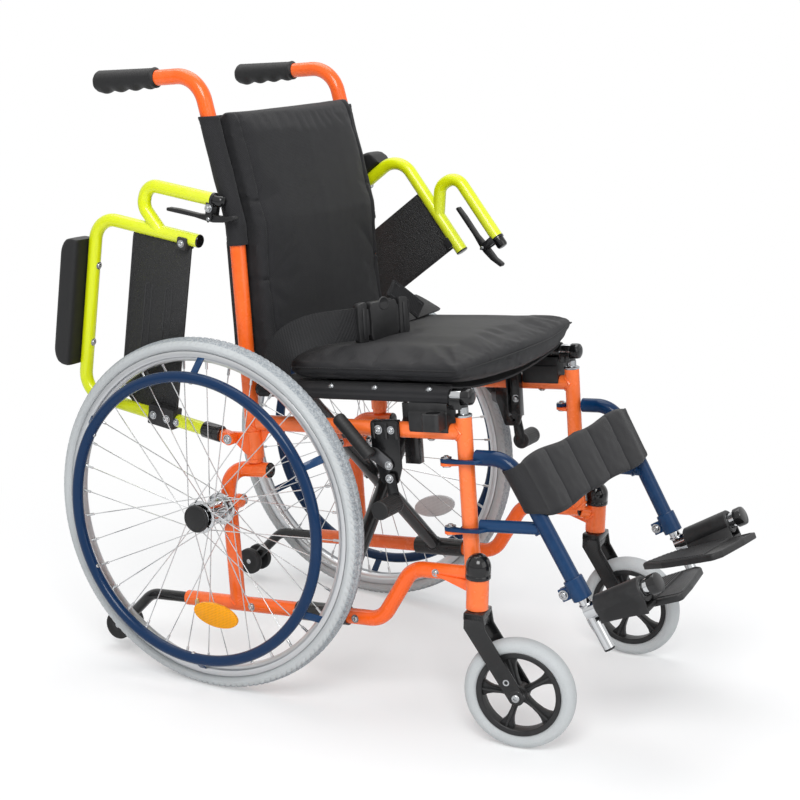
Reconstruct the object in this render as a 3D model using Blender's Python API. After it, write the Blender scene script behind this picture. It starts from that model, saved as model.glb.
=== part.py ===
# A child's folding wheelchair, modelled in metres with +Z up.
# The occupant looks along -Y, so the occupant's right side lies at -X.
# It stands on the plane Z = 0, and the origin is the middle of its footprint.

import math

import bmesh
import bpy
from mathutils import Matrix, Quaternion, Vector

# Clearances
touch_gap = 0.0003          # between pieces that touch, and around a cut
running_gap = 0.0004        # round a pin or shaft that turns
fold_gap = 0.003            # between the crossing braces

# Stance and tilt of the side frames
frame_slope = 0.10          # rise of the side tubes for each metre forward
side_plane = 0.1755         # side frame tubes, from the middle
frame_radius = 0.011
bend_radius = 0.035

# Side frame, along = forward from the axle, up = square to the side tubes
post_along = 0.390
post_top_up = 0.145
top_tube_up = 0.124
low_tube_up = -0.148
low_tube_rear = -0.090
step_start_along = 0.243
step_end_along = 0.297
step_up = -0.070
step_front_along = 0.392
axle_post_bend_up = 0.055
axle_post_front = 0.075
gusset_length = 0.034
gusset_thickness = 0.003
rail_up = 0.172
saddle_width = 0.025
saddle_along = 0.3835
saddle_length = 0.016
saddle_neck_radius = 0.007

# Back canes and grips
cane_along = 0.0524
cane_straight_up = 0.403
cane_lean = math.radians(11.4)
handle_up = 0.610
handle_bend = 0.045
grip_front_along = -0.059
grip_length = 0.107
grip_front_radius = 0.0135
grip_rear_radius = 0.0160
grip_wall_end = 0.012
grip_bumps = 4
grip_bump_height = 0.0028
collar_low_up = 0.072
collar_height = 0.0405
collar_radius = 0.01275

# Rear wheels
wheel_plane = 0.2306
tyre_radius = 0.254
tyre_width = 0.032
tyre_height = 0.0177
rim_depth = 0.015
rim_width = 0.025
axle_radius = 0.00635
axle_inner_end = 0.140
axle_cap_radius = 0.009
axle_cap_length = 0.0095
receiver_radius = 0.0105
receiver_outer = 0.189
hub_radius = 0.014
hub_inner = 0.1905
hub_outer = 0.2545
flange_radius = 0.0235
flange_thickness = 0.003
flange_inner_plane = 0.198
flange_outer_plane = 0.2465
hub_cap_radius = 0.021
hub_cap_length = 0.007
spoke_count = 36
spoke_radius = 0.0011
spoke_wrap = math.radians(60)
reflector_length = 0.066
reflector_height = 0.030
reflector_thickness = 0.006
reflector_distance = 0.130
reflector_turn = math.radians(-95)
handrim_plane = 0.267
handrim_radius = 0.2046
handrim_tube = 0.008
handrim_brackets = 6
wheel_steps = 36

# Castors
stem_forward = 0.4136
stem_plane = 0.1988
housing_drop = 0.03795       # its foot, below the front end of the side tube's step
housing_length = 0.0426
housing_radius = 0.015
stem_radius = 0.0065
dome_radius = 0.017
dome_height = 0.034
castor_radius = 0.0765
castor_width = 0.027
castor_tyre_height = 0.0180
castor_rim_depth = 0.0075
castor_trail = 0.0632
castor_hub_radius = 0.012
castor_spokes = 5
castor_turn = {"right": math.radians(9.8), "left": math.radians(2.0)}
castor_steps = 24
fork_gap = 0.034
fork_blade = 0.004
fork_blade_width = 0.024
fork_crown_height = 0.022
castor_axle_radius = 0.004

# Folding cross brace and seat rails
brace_radius = 0.011
sleeve_wall = 0.0025
sleeve_rear = 0.105
sleeve_length = 0.085
brace_rear_along = 0.140
rail_radius = 0.0095
rail_rear = 0.070
rail_front = 0.392
rail_cap_radius = 0.0115
rail_cap_length = 0.014
pivot_radius = 0.004
pivot_head_radius = 0.0075
pivot_head_height = 0.003
link_reach = 0.135          # from the rail to the point the link meets, along the brace
link_inboard = 0.0205       # the link's pin, inboard of the side tube
link_up = 0.095
link_width = 0.016
link_thickness = 0.004
link_pin_radius = 0.003
guide_behind = 0.015         # clear of the brake's plate
guide_front = 0.372
guide_half_width = 0.0132
guide_top_up = 0.164
guide_bottom_up = 0.118
cup_wall = 0.0022
cup_top_up = 0.154
cup_floor_up = 0.146
cup_bottom_up = 0.130
channel_gap = 0.001          # between the channel and the rail guide
channel_low_up = 0.074
channel_high_up = 0.158
channel_width = 0.022
channel_depth = 0.013
channel_wall = 0.0025

# Folding: the brace angle opens by fold_angle, and the sides close in
fold_angle = math.radians(30)
seat_lift_share = 0.75      # of the rails' rise, taken by the middle of the seat
buckle_shift = (-0.030, 0.060)

# Seat and back upholstery
cloth = 0.0028
hem_rear = 0.075
hem_front = 0.374
hem_wrap = math.radians(122)
sling_sag = 0.008
cushion_half_width = 0.186
cushion_rear = 0.118
cushion_front = 0.402
cushion_thickness = 0.041
cushion_crown = 0.008
cushion_droop = 0.016
cushion_channels = 4
back_low_up = 0.200
back_high_up = 0.556
back_half_width = 0.158
back_thickness = 0.040
back_crown = 0.007
back_sections = 3
pocket_low_up = 0.375
pocket_high_up = 0.553
pocket_wall = 0.0025
back_cloth_low_up = 0.200

# Flip-up armrests, drawn as in use: forward and height from the pivot
arm_plane = 0.199
arm_radius = 0.0095
arm_pivot_along = 0.0270
arm_pivot_up = 0.1038
arm_lean = {"right": math.radians(77.6), "left": math.radians(33.6)}
arm_rear_leg = 0.003
arm_top = 0.262
arm_legs_apart = 0.062       # from the front leg to the branch's leg
arm_front_end = 0.082
arm_branch_leaves = 0.148
arm_branch_top = 0.182
arm_branch_leg = 0.3305
arm_branch_end = 0.062
arm_tip_length = 0.019
arm_tip_radius = 0.0085
arm_bend = 0.034
tongue_radius = 0.009
tongue_inner = 0.1898
tongue_thickness = 0.0147
arm_pin_radius = 0.003
pad_rear = 0.047
pad_length = 0.187
pad_height = 0.030
pad_width = 0.042
pad_offset = 0.0125          # outward, so that it passes the cane
guard_low = 0.093
guard_high = 0.195
guard_thickness = 0.004
clamp_shift = 0.0022
latch_behind = 0.0265        # from the front leg back to the latch's pin
latch_low = 0.026
latch_pivot = 0.064
latch_high = 0.138
latch_width = 0.012
latch_pin_radius = 0.0018

# Brakes
brake_behind = 0.001         # along, all from the tyre's tread
brake_length = 0.044
brake_plate = 0.004
lever_from_tread = (0.0281, 0.0773)
shoe_from_tread = (0.0299, 0.0601)
brake_pin_radius = 0.003
brake_bar = 0.003
brake_grip_plane = 0.2025
brake_grip_radius = 0.0095
grip_start_from_tread = (0.0043, 0.0907)
grip_end_from_tread = (-0.0391, 0.1393)
shoe_centre_from_tread = (0.0351, 0.0264)
shoe_radius = 0.012
shoe_inner = 0.1952
shoe_outer = 0.2390

# Footrests
hanger_pin_along = 0.366
hanger_pin_plane = 0.186
hanger_pin_radius = 0.004
hanger_tab_ups = (0.0825, -0.0105)
tab_thickness = 0.004
lug_thickness = 0.005
lug_radius = 0.0085
hanger_radius = 0.0105
hanger_start = 0.4055
hanger_top_up = 0.0905
hanger_corner = 0.4531
hanger_rake = math.radians(26.4)
hanger_foot_up = -0.087
hanger_foot_plane = 0.1663
hanger_low_up = -0.002
hanger_low_radius = 0.0085
hanger_bend = 0.040
collar_outer = 0.0135
collar_span = 0.030
collar_ear = 0.026
slider_radius = 0.0078
slider_inside = 0.105
slider_below = 0.082
foot_tube_radius = 0.011
foot_tube_drop = 0.024      # below the collar, along the slider
foot_tube_length = 0.107
foot_cap_length = 0.010
foot_cover_radius = 0.017
foot_cover_start = 0.016
foot_cover_length = 0.072
tread_thickness = 0.007
tread_groove_place = 0.0195 # inboard from the foot tube, between the cover and the tread
tread_groove_width = 0.002
tread_groove_depth = 0.0012
tread_outline = (           # inboard from the foot tube, forward along it
    (-0.013, 0.014), (0.030, -0.016), (0.066, -0.038), (0.100, 0.008), (0.124, 0.060),
    (0.138, 0.100), (0.128, 0.112), (0.060, 0.120), (0.000, 0.124), (-0.013, 0.116),
)
strap_start = 0.026         # from the hanger's corner down the rake
strap_height = 0.086
strap_thickness = 0.010
strap_channels = 5
strap_channel_depth = 0.004
strap_loop_wall = 0.003
strap_loop_height = 0.050

# Anti-tip wheels
tip_tube_radius = 0.008
tip_tube_inside = 0.045
tip_bend_along = -0.158
tip_end_along = -0.2158
tip_end_up = -0.1985
tip_wheel_radius = 0.022
tip_wheel_width = 0.010
tip_wheel_gap = 0.0012
tip_axle_radius = 0.003

# Belt
belt_thickness = 0.004
belt_height = 0.050
buckle_place = (-0.085, 0.222, 0.2577)
buckle_size = (0.070, 0.016, 0.052)
buckle_turn = math.radians(-22)
belt_anchor = (0.168, 0.128)             # from the middle and along, where each strap ends
belt_bend_left = (0.150, 0.165)
belt_bends_right = ((0.146, 0.190), (0.163, 0.160))

axle_height = tyre_radius
tilt = math.atan(frame_slope)
step_height = axle_height + step_front_along * math.sin(tilt) + step_up * math.cos(tilt)
housing_low = step_height - housing_drop
housing_high = housing_low + housing_length
lever_pivot = (tyre_radius + lever_from_tread[0], lever_from_tread[1])
shoe_pivot = (tyre_radius + shoe_from_tread[0], shoe_from_tread[1])
brake_grip_start = (tyre_radius + grip_start_from_tread[0], grip_start_from_tread[1])
brake_grip_end = (tyre_radius + grip_end_from_tread[0], grip_end_from_tread[1])
shoe_centre = (tyre_radius + shoe_centre_from_tread[0], shoe_centre_from_tread[1])
brake_rear = tyre_radius + brake_behind
brake_front = brake_rear + brake_length
guide_rear = brake_front + guide_behind
channel_along = guide_rear - channel_gap - channel_width / 2
latch_along = arm_branch_leg - latch_behind
arm_front_leg = arm_branch_leg - arm_legs_apart
brace_slope = math.atan2(rail_up - low_tube_up, 2 * side_plane)
brace_length = math.hypot(rail_up - low_tube_up, 2 * side_plane)
narrowing = brace_length * (math.cos(brace_slope) - math.cos(brace_slope + fold_angle))
rail_rise = brace_length * (math.sin(brace_slope + fold_angle) - math.sin(brace_slope))
brace_front_along = brace_rear_along + 2 * brace_radius + fold_gap
rail_hem_radius = rail_radius + touch_gap + cloth
forward = Vector((0, -math.cos(tilt), math.sin(tilt)))
upward = Vector((0, math.sin(tilt), math.cos(tilt)))
across = Vector((1, 0, 0))
sides = {"right": -1, "left": 1}


# Clearing the scene

for old in list(bpy.data.objects):
    bpy.data.objects.remove(old, do_unlink=True)

workbench = bpy.data.collections.new("workbench")
bpy.context.scene.collection.children.link(workbench)


# Points and paths

def tilted(x, along, up):
    return Vector((x, 0, axle_height)) + forward * along + upward * up


def rounded_path(points, bend, steps, closed=False):
    # Straight runs joined by arcs of the bend radius.
    count = len(points)
    path = []
    for i in range(count):
        corner = points[i]
        if not closed and i in (0, count - 1):
            path.append(corner)
            continue
        to_last = (points[i - 1] - corner).normalized()
        to_next = (points[(i + 1) % count] - corner).normalized()
        angle = to_last.angle(to_next)
        if angle > math.pi - 0.01:
            path.append(corner)
            continue
        start = corner + to_last * bend / math.tan(angle / 2)
        centre = corner + (to_last + to_next).normalized() * bend / math.sin(angle / 2)
        axis = (centre - start).cross(to_last).normalized()
        for step in range(steps + 1):
            turn = Quaternion(axis, (math.pi - angle) * step / steps)
            path.append(centre + turn @ (start - centre))
    return path


# Solids, each a list of points and a list of faces

def skin(rings, closed=False):
    size = len(rings[0])
    points = [point for ring in rings for point in ring]
    faces = []
    last = len(rings) if closed else len(rings) - 1
    for i in range(last):
        a = i * size
        b = ((i + 1) % len(rings)) * size
        for j in range(size):
            k = (j + 1) % size
            faces.append((a + j, a + k, b + k, b + j))
    if not closed:
        faces.append(tuple(range(size)))
        faces.append(tuple(range(len(points) - size, len(points))))
    return points, faces


def round_steps(radius):
    # Thin rods need fewer faces.
    if radius < 0.0035:
        return 6
    return 8 if radius < 0.0098 else 10


def tube(points, radius, bend=bend_radius, sides_round=0, steps=4, closed=False):
    sides_round = sides_round or round_steps(radius)
    path = rounded_path([Vector(p) for p in points], bend, steps, closed)
    count = len(path)
    rings = []
    side = None
    for i, place in enumerate(path):
        before = path[i - 1] if closed or i > 0 else place
        after = path[(i + 1) % count] if closed or i < count - 1 else place
        run = (after - before).normalized()
        if side is None:
            side = run.orthogonal().normalized()
            if abs(run.x) < 0.99:
                side = (across - run * across.dot(run)).normalized()
        side = (side - run * side.dot(run)).normalized()
        other = run.cross(side)
        ring = []
        for j in range(sides_round):
            turn = 2 * math.pi * (j + 0.5) / sides_round
            ring.append(place + side * radius * math.cos(turn) + other * radius * math.sin(turn))
        rings.append(ring)
    return skin(rings, closed)


def turned(profile, centre, axis, steps=14, hollow=False, start=None):
    # The profile holds (radius, distance along the axis).
    axis = Vector(axis).normalized()
    side = start if start else axis.orthogonal().normalized()
    other = axis.cross(side)
    rings = []
    for radius, distance in profile:
        ring = []
        for j in range(steps):
            turn = 2 * math.pi * j / steps
            spoke = side * math.cos(turn) + other * math.sin(turn)
            ring.append(centre + axis * distance + spoke * radius)
        rings.append(ring)
    return skin(rings, hollow)


def rod(start, end, radius, steps=0):
    steps = steps or round_steps(radius)
    start = Vector(start)
    length = (Vector(end) - start).length
    return turned([(radius, 0), (radius, length)], start, Vector(end) - start, steps)


def bore(start, end, radius, gap):
    # A cutter whose flat sides all clear the shaft by the gap.
    steps = 10
    return rod(start, end, (radius + gap) / math.cos(math.pi / steps), steps)


def plate(outline, thickness, direction):
    # A flat plate whose outline lies in its middle plane.
    half = Vector(direction).normalized() * thickness / 2
    return skin([[p - half for p in outline], [p + half for p in outline]])


def block(centre, size, axes=(across, forward, upward)):
    x, y, z = axes
    corners = ((-1, -1), (1, -1), (1, 1), (-1, 1))
    outline = [centre + x * size[0] / 2 * i + y * size[1] / 2 * j for i, j in corners]
    return plate(outline, size[2], z)


def side_outline(x, pairs, bend=0.0, steps=3):
    outline = [tilted(x, along, up) for along, up in pairs]
    if bend:
        outline = rounded_path(outline, bend, steps, closed=True)
    return outline


# Materials and nodes

materials = {}


def paint(name, colour, roughness, metallic=0.0):
    material = bpy.data.materials.new(name)
    material.use_nodes = True
    shader = material.node_tree.nodes["Principled BSDF"]
    shader.inputs["Base Color"].default_value = (*colour, 1)
    shader.inputs["Roughness"].default_value = roughness
    shader.inputs["Metallic"].default_value = metallic
    material.diffuse_color = (*colour, 1)
    materials[name] = material


paint("orange_paint", (0.95, 0.16, 0.03), 0.30)
paint("lime_paint", (0.74, 0.86, 0.02), 0.30)
paint("navy_paint", (0.010, 0.045, 0.15), 0.30)
paint("black_paint", (0.012, 0.012, 0.014), 0.35)
paint("black_plastic", (0.02, 0.02, 0.022), 0.50)
paint("black_rubber", (0.025, 0.025, 0.027), 0.75)
paint("black_cloth", (0.022, 0.022, 0.024), 0.90)
paint("grey_tyre", (0.50, 0.51, 0.52), 0.70)
paint("bright_metal", (0.72, 0.72, 0.74), 0.15, 1.0)


def mesh_from(solid, name):
    points, faces = solid
    mesh = bpy.data.meshes.new(name)
    mesh.from_pydata([tuple(p) for p in points], [], faces)
    shape = bmesh.new()
    shape.from_mesh(mesh)
    bmesh.ops.recalc_face_normals(shape, faces=shape.faces)
    shape.to_mesh(mesh)
    shape.free()
    return mesh


def helper_group(solids, name):
    group = bpy.data.collections.new(name)
    workbench.children.link(group)
    for solid in solids:
        helper = bpy.data.objects.new(name, mesh_from(solid, name))
        helper.display_type = "WIRE"
        helper.hide_render = True
        group.objects.link(helper)
    return group


def node(name, material, add, cut=(), holder=None, sharp=35):
    # One closed body: the first solid, joined with the others and then cut.
    item = bpy.data.objects.new(name, mesh_from(add[0], name))
    bpy.context.scene.collection.objects.link(item)
    groups = []
    for solids, operation in ((add[1:], "UNION"), (cut, "DIFFERENCE")):
        if not solids:
            continue
        group = helper_group(solids, name + "_" + operation.lower())
        groups.append(group)
        modifier = item.modifiers.new(operation.lower(), "BOOLEAN")
        modifier.operation = operation
        modifier.solver = "EXACT"
        modifier.operand_type = "COLLECTION"
        modifier.collection = group
    if groups:
        bpy.context.view_layer.update()
        shaped = item.evaluated_get(bpy.context.evaluated_depsgraph_get())
        mesh = bpy.data.meshes.new_from_object(shaped)
        item.modifiers.clear()
        item.data = mesh
        for group in groups:
            for helper in list(group.objects):
                bpy.data.objects.remove(helper, do_unlink=True)
            bpy.data.collections.remove(group)
    mesh = item.data
    mesh.materials.clear()
    mesh.materials.append(materials[material])
    mesh.shade_smooth()
    mesh.set_sharp_from_angle(angle=math.radians(sharp))
    if holder:
        item.parent = holder
        item.matrix_parent_inverse = holder_places[holder.name].inverted()
    return item


# Bodies that move, each under an empty whose X axis is the joint's axis

holder_places = {}


def pivot(name, place, axis, parent):
    axis = Vector(axis).normalized()
    turn = across.rotation_difference(axis).to_matrix().to_4x4()
    matrix = Matrix.Translation(place) @ turn
    empty = bpy.data.objects.new(name, None)
    empty.empty_display_size = 0.03
    bpy.context.scene.collection.objects.link(empty)
    if parent:
        empty.parent = parent
        empty.matrix_parent_inverse = holder_places[parent.name].inverted()
    empty.matrix_basis = matrix
    holder_places[name] = matrix
    return empty


chair = pivot("wheelchair", Vector((0, 0, 0)), across, None)
brace_foot_right = tilted(-side_plane, brace_front_along, low_tube_up)
brace_foot_left = tilted(side_plane, brace_rear_along, low_tube_up)
brace_middle = tilted(0, brace_rear_along, (low_tube_up + rail_up) / 2)
fold = pivot("fold", brace_foot_right, forward, chair)
fold_cross = pivot("fold_cross", brace_middle, forward, fold)
fold_left = pivot("fold_left", brace_foot_left, forward, fold_cross)
seat_path = across * -narrowing / 2 + upward * rail_rise * seat_lift_share
seat_holder = pivot("seat_lift", tilted(0, cushion_rear, rail_up), seat_path, chair)
buckle_path = across * buckle_shift[0] + upward * buckle_shift[1]
buckle_holder = pivot("buckle_lift", tilted(*buckle_place), buckle_path, chair)
frames = {"right": chair, "left": fold_left}


# Side frames

def side_frame(side):
    sign = sides[side]
    x = side_plane * sign
    stem = Vector((stem_plane * sign, -stem_forward, 0))
    cane_side = cane_along + frame_radius + touch_gap
    add = [
        tube([tilted(x, low_tube_rear, low_tube_up), tilted(x, step_start_along, low_tube_up),
              tilted(x, step_end_along, step_up), tilted(x, step_front_along, step_up)],
             frame_radius),
        tube([tilted(x, 0, low_tube_up), tilted(x, 0, axle_post_bend_up),
              tilted(x, axle_post_front, axle_post_bend_up)], frame_radius),
        tube([tilted(x, post_along, step_up), tilted(x, post_along, post_top_up)], frame_radius),
        tube([tilted(x, cane_side, top_tube_up), tilted(x, post_along, top_tube_up)],
             frame_radius),
        rod(stem + Vector((0, 0, housing_low)), stem + Vector((0, 0, housing_high)),
            housing_radius, 16),
        rod(Vector((axle_inner_end + axle_cap_length + touch_gap, 0, 0)) * sign
            + Vector((0, 0, axle_height)),
            Vector((receiver_outer * sign, 0, axle_height)), receiver_radius),
    ]
    gusset_rear = cane_along + collar_radius + touch_gap
    add.append(plate(side_outline(x, (
        (gusset_rear, top_tube_up), (gusset_rear + gusset_length, top_tube_up),
        (gusset_rear, top_tube_up - gusset_length))), gusset_thickness, across))
    add.append(rod(tilted(x, post_along, step_up - 0.004),
                   stem + Vector((0, 0, (housing_low + housing_high) / 2 + 0.006)), 0.0095))
    web_x = (side_plane + stem_plane) / 2 * sign
    web_top = tilted(web_x, step_end_along + bend_radius, step_up)
    web = [web_top, Vector((web_x, -stem_forward, web_top.z)),
           Vector((web_x, -stem_forward, housing_low + frame_radius))]
    add.append(plate(web, gusset_thickness, across))
    for tab_up in hanger_tab_ups:
        add.append(hanger_tab(sign, tab_up))
        add.append(rod(tilted(hanger_pin_plane * sign, hanger_pin_along, tab_up),
                       tilted(hanger_pin_plane * sign, hanger_pin_along,
                              tab_up + tab_thickness / 2 + lug_thickness + 0.004),
                       hanger_pin_radius))
    neck_top = rail_up - rail_cap_radius - 0.002
    add.append(rod(tilted(x, post_along, top_tube_up), tilted(x, post_along, neck_top),
                   saddle_neck_radius))
    lug = link_start(sign) + forward * (link_thickness / 2 + touch_gap + 0.0015)
    lug_shape = [lug + across * x + upward * up for x, up in (
        (-0.007 * sign, -0.006), (0.005 * sign, -0.006), (link_inboard * sign, 0.022),
        (link_inboard * sign, top_tube_up - link_up), (0.008 * sign, top_tube_up - link_up),
        (-0.007 * sign, 0.006))]
    add.append(plate(lug_shape, 0.003, forward))
    add.append(rod(lug, lug - forward * (link_thickness + touch_gap + 0.002), link_pin_radius))
    saddle_low = post_top_up + frame_radius
    add.append(block(tilted(x, saddle_along, (saddle_low + rail_up) / 2),
                     (saddle_width, saddle_length, rail_up - saddle_low)))
    cut = [
        bore(Vector((axle_inner_end * sign, 0, axle_height)),
             Vector(((receiver_outer + 0.01) * sign, 0, axle_height)), axle_radius, running_gap),
        bore(stem + Vector((0, 0, housing_low - 0.01)), stem + Vector((0, 0, housing_high + 0.01)),
             stem_radius, running_gap),
        bore(tilted(x, low_tube_rear - 0.01, low_tube_up),
             tilted(x, low_tube_rear + tip_tube_inside + 0.002, low_tube_up),
             tip_tube_radius, touch_gap),
        bore(tilted(x, saddle_along - saddle_length, rail_up),
             tilted(x, saddle_along + saddle_length, rail_up), rail_radius, touch_gap),
    ]
    return node("side_frame_" + side, "orange_paint", add, cut, frames[side])


def hanger_tab(sign, tab_up):
    # A flat ear from the post back to the pin that the hanger turns on.
    pin_x = hanger_pin_plane * sign
    ear = tilted(pin_x, hanger_pin_along, tab_up)
    post = tilted(side_plane * sign, post_along, tab_up)
    reach = (post - ear).length
    run = (post - ear).normalized()
    square = run.cross(upward).normalized()
    outline = []
    for step in range(7):
        turn = math.pi * (0.5 + step / 6)
        outline.append(ear + run * lug_radius * math.cos(turn)
                       + square * lug_radius * math.sin(turn))
    outline.append(ear + run * reach - square * lug_radius)
    outline.append(ear + run * reach + square * lug_radius)
    return plate(outline, tab_thickness, upward)


# Canes and grips

def cane_path(x, end_along):
    corner_along = cane_along - (handle_up - cane_straight_up) * math.tan(cane_lean)
    foot_up = axle_post_bend_up + frame_radius + touch_gap
    return [tilted(x, cane_along, foot_up), tilted(x, cane_along, cane_straight_up),
            tilted(x, corner_along, handle_up), tilted(x, end_along, handle_up)]


def back_cane(side):
    sign = sides[side]
    x = side_plane * sign
    grip_end = grip_front_along - grip_length
    pivot_place = tilted(arm_plane * sign, arm_pivot_along, arm_pivot_up)
    ear_plane = (tongue_inner - touch_gap) * sign
    ear_inner = (side_plane + frame_radius) * sign
    ear_middle = (ear_plane + ear_inner) / 2
    ear_thickness = abs(ear_plane - ear_inner)
    ear = side_outline(ear_middle, (
        (cane_along, arm_pivot_up + 0.007), (cane_along, arm_pivot_up - 0.030),
        (arm_pivot_along + 0.004, arm_pivot_up - 0.010),
        (arm_pivot_along - 0.009, arm_pivot_up - 0.004),
        (arm_pivot_along - 0.009, arm_pivot_up + 0.007)), 0.004)
    pin_end = tongue_inner + tongue_thickness + touch_gap
    pin_from = Vector((ear_middle, pivot_place.y, pivot_place.z))
    pin_to = Vector((pin_end * sign, pivot_place.y, pivot_place.z))
    add = [
        tube(cane_path(x, grip_end + grip_wall_end + touch_gap), frame_radius, handle_bend),
        rod(tilted(x, cane_along, collar_low_up),
            tilted(x, cane_along, collar_low_up + collar_height - 0.0005), collar_radius),
        plate(ear, ear_thickness, across),
        rod(pin_from, pin_to, arm_pin_radius),
        rod(pin_to, pin_to + across * sign * 0.0024, 2 * arm_pin_radius, 6),
    ]
    return node("back_cane_" + side, "orange_paint", add, (), frames[side])


def push_grip(side):
    x = side_plane * sides[side]
    rings = []
    count = 4 * grip_bumps
    for i in range(count + 1):
        share = i / count
        radius = grip_front_radius + (grip_rear_radius - grip_front_radius) * share
        if i == 0 or i == count:
            radius -= 0.0015
        wave = math.sin(math.pi * share * grip_bumps) ** 2
        centre = tilted(x, grip_front_along - grip_length * share, handle_up)
        ring = []
        for j in range(12):
            turn = 2 * math.pi * j / 12
            below = max(0.0, -math.sin(turn))
            reach = radius + (wave - 0.5) * grip_bump_height * below
            ring.append(centre + across * reach * math.cos(turn) + upward * reach * math.sin(turn))
        rings.append(ring)
    hollow = bore(tilted(x, grip_front_along + 0.01, handle_up),
                  tilted(x, grip_front_along - grip_length + grip_wall_end, handle_up),
                  frame_radius, touch_gap)
    return node("push_grip_" + side, "black_rubber", [skin(rings)], [hollow], frames[side], 60)


# Rear wheels

def ring_profile(pairs, inner):
    # A closed section, given as (distance out from the inner radius, half width).
    left = [(inner + out, -half) for out, half in pairs]
    right = [(inner + out, half) for out, half in reversed(pairs)]
    return left + right


def rear_tyre(side, spin):
    centre = Vector((wheel_plane * sides[side], 0, axle_height))
    half = tyre_width / 2
    height = tyre_height
    pairs = ((0, 0.80 * half), (0.35 * height, half), (0.80 * height, 0.72 * half),
             (height, 0.22 * half))
    profile = ring_profile(pairs, tyre_radius - height)
    solid = turned(profile, centre, across, wheel_steps, True, Vector((0, 0, -1)))
    return node("rear_tyre_" + side, "grey_tyre", [solid], (), spin)


def spoke_ends(sign, index):
    # Each flange carries every second spoke, and they lean both ways in turn.
    inner = index % 2
    place = index // 2
    lean = 1 if place % 2 else -1
    flange_plane = flange_inner_plane if inner else flange_outer_plane
    flange_x = flange_plane + lean * flange_thickness / 2
    hub_turn = 2 * math.pi * index / spoke_count
    rim_turn = hub_turn + lean * spoke_wrap
    hub_reach = flange_radius - 0.003
    rim_reach = tyre_radius - tyre_height - rim_depth + 0.004
    hub_end = Vector((flange_x * sign, hub_reach * math.cos(hub_turn),
                      axle_height + hub_reach * math.sin(hub_turn)))
    rim_end = Vector((wheel_plane * sign, rim_reach * math.cos(rim_turn),
                      axle_height + rim_reach * math.sin(rim_turn)))
    return hub_end, rim_end


def rear_wheel(side, spin):
    sign = sides[side]
    centre = Vector((0, 0, axle_height))
    out = across * sign
    half = rim_width / 2
    rim_inner = tyre_radius - tyre_height - rim_depth
    rim_outer = rim_depth - touch_gap
    pairs = ((0, 0.60 * half), (0.45 * rim_depth, half), (rim_outer, half))
    rim_centre = Vector((wheel_plane * sign, 0, axle_height))
    rim = turned(ring_profile(pairs, rim_inner), rim_centre, across, wheel_steps, True,
                 Vector((0, 0, -1)))
    cap_start = hub_outer + 0.0005
    hub = turned([
        (axle_cap_radius, axle_inner_end), (axle_cap_radius, axle_inner_end + axle_cap_length),
        (axle_radius, axle_inner_end + axle_cap_length), (axle_radius, hub_inner),
        (hub_radius, hub_inner), (hub_radius, flange_inner_plane - flange_thickness),
        (flange_radius, flange_inner_plane - flange_thickness),
        (flange_radius, flange_inner_plane + flange_thickness),
        (hub_radius, flange_inner_plane + flange_thickness),
        (hub_radius, flange_outer_plane - flange_thickness),
        (flange_radius, flange_outer_plane - flange_thickness),
        (flange_radius, flange_outer_plane + flange_thickness),
        (hub_radius, flange_outer_plane + flange_thickness),
        (hub_radius, cap_start), (hub_cap_radius, cap_start),
        (hub_cap_radius, cap_start + hub_cap_length - 0.002),
        (hub_cap_radius - 0.003, cap_start + hub_cap_length),
    ], centre, out, 12)
    add = [rim, hub]
    for index in range(spoke_count):
        hub_end, rim_end = spoke_ends(sign, index)
        add.append(rod(hub_end, rim_end, spoke_radius, 3))
    face = Vector((0, math.cos(reflector_turn), math.sin(reflector_turn)))
    along_face = face.cross(across)
    middle = centre + face * reflector_distance
    reflector_x = (flange_outer_plane + wheel_plane) / 2 + 0.001
    middle += out * reflector_x
    outline = []
    for step in range(14):
        turn = 2 * math.pi * step / 14
        outline.append(middle + along_face * reflector_length / 2 * math.cos(turn)
                       + face * reflector_height / 2 * math.sin(turn))
    add.append(plate(outline, reflector_thickness, across))
    return node("rear_wheel_" + side, "bright_metal", add, (), spin)


def handrim(side, spin):
    sign = sides[side]
    centre = Vector((handrim_plane * sign, 0, axle_height))
    profile = []
    for step in range(7):
        turn = 2 * math.pi * step / 7
        profile.append((handrim_radius + handrim_tube * math.cos(turn),
                        handrim_tube * math.sin(turn)))
    add = [turned(profile, centre, across, wheel_steps, True, Vector((0, 0, -1)))]
    rim_side = wheel_plane + rim_width / 2 + touch_gap
    rim_reach = tyre_radius - tyre_height - rim_depth / 2
    for index in range(handrim_brackets):
        turn = 2 * math.pi * (index + 0.5) / handrim_brackets
        spoke = Vector((0, math.cos(turn), math.sin(turn)))
        foot = Vector((rim_side * sign, 0, axle_height)) + spoke * rim_reach
        head = Vector((handrim_plane * sign, 0, axle_height)) + spoke * handrim_radius
        run = (head - foot).normalized()
        square = spoke.cross(across).normalized()
        lift = square.cross(run).normalized() * sign
        outline = [foot + square * 0.006, head + square * 0.006,
                   head - square * 0.006, foot - square * 0.006]
        outline[0].x = rim_side * sign
        outline[3].x = rim_side * sign
        toe = [Vector(p) for p in outline]
        for p in toe:
            p += lift * 0.004
        toe[0].x = rim_side * sign
        toe[3].x = rim_side * sign
        add.append(skin([outline, toe]))
    return node("handrim_" + side, "navy_paint", add, (), spin)


# Castors

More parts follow.
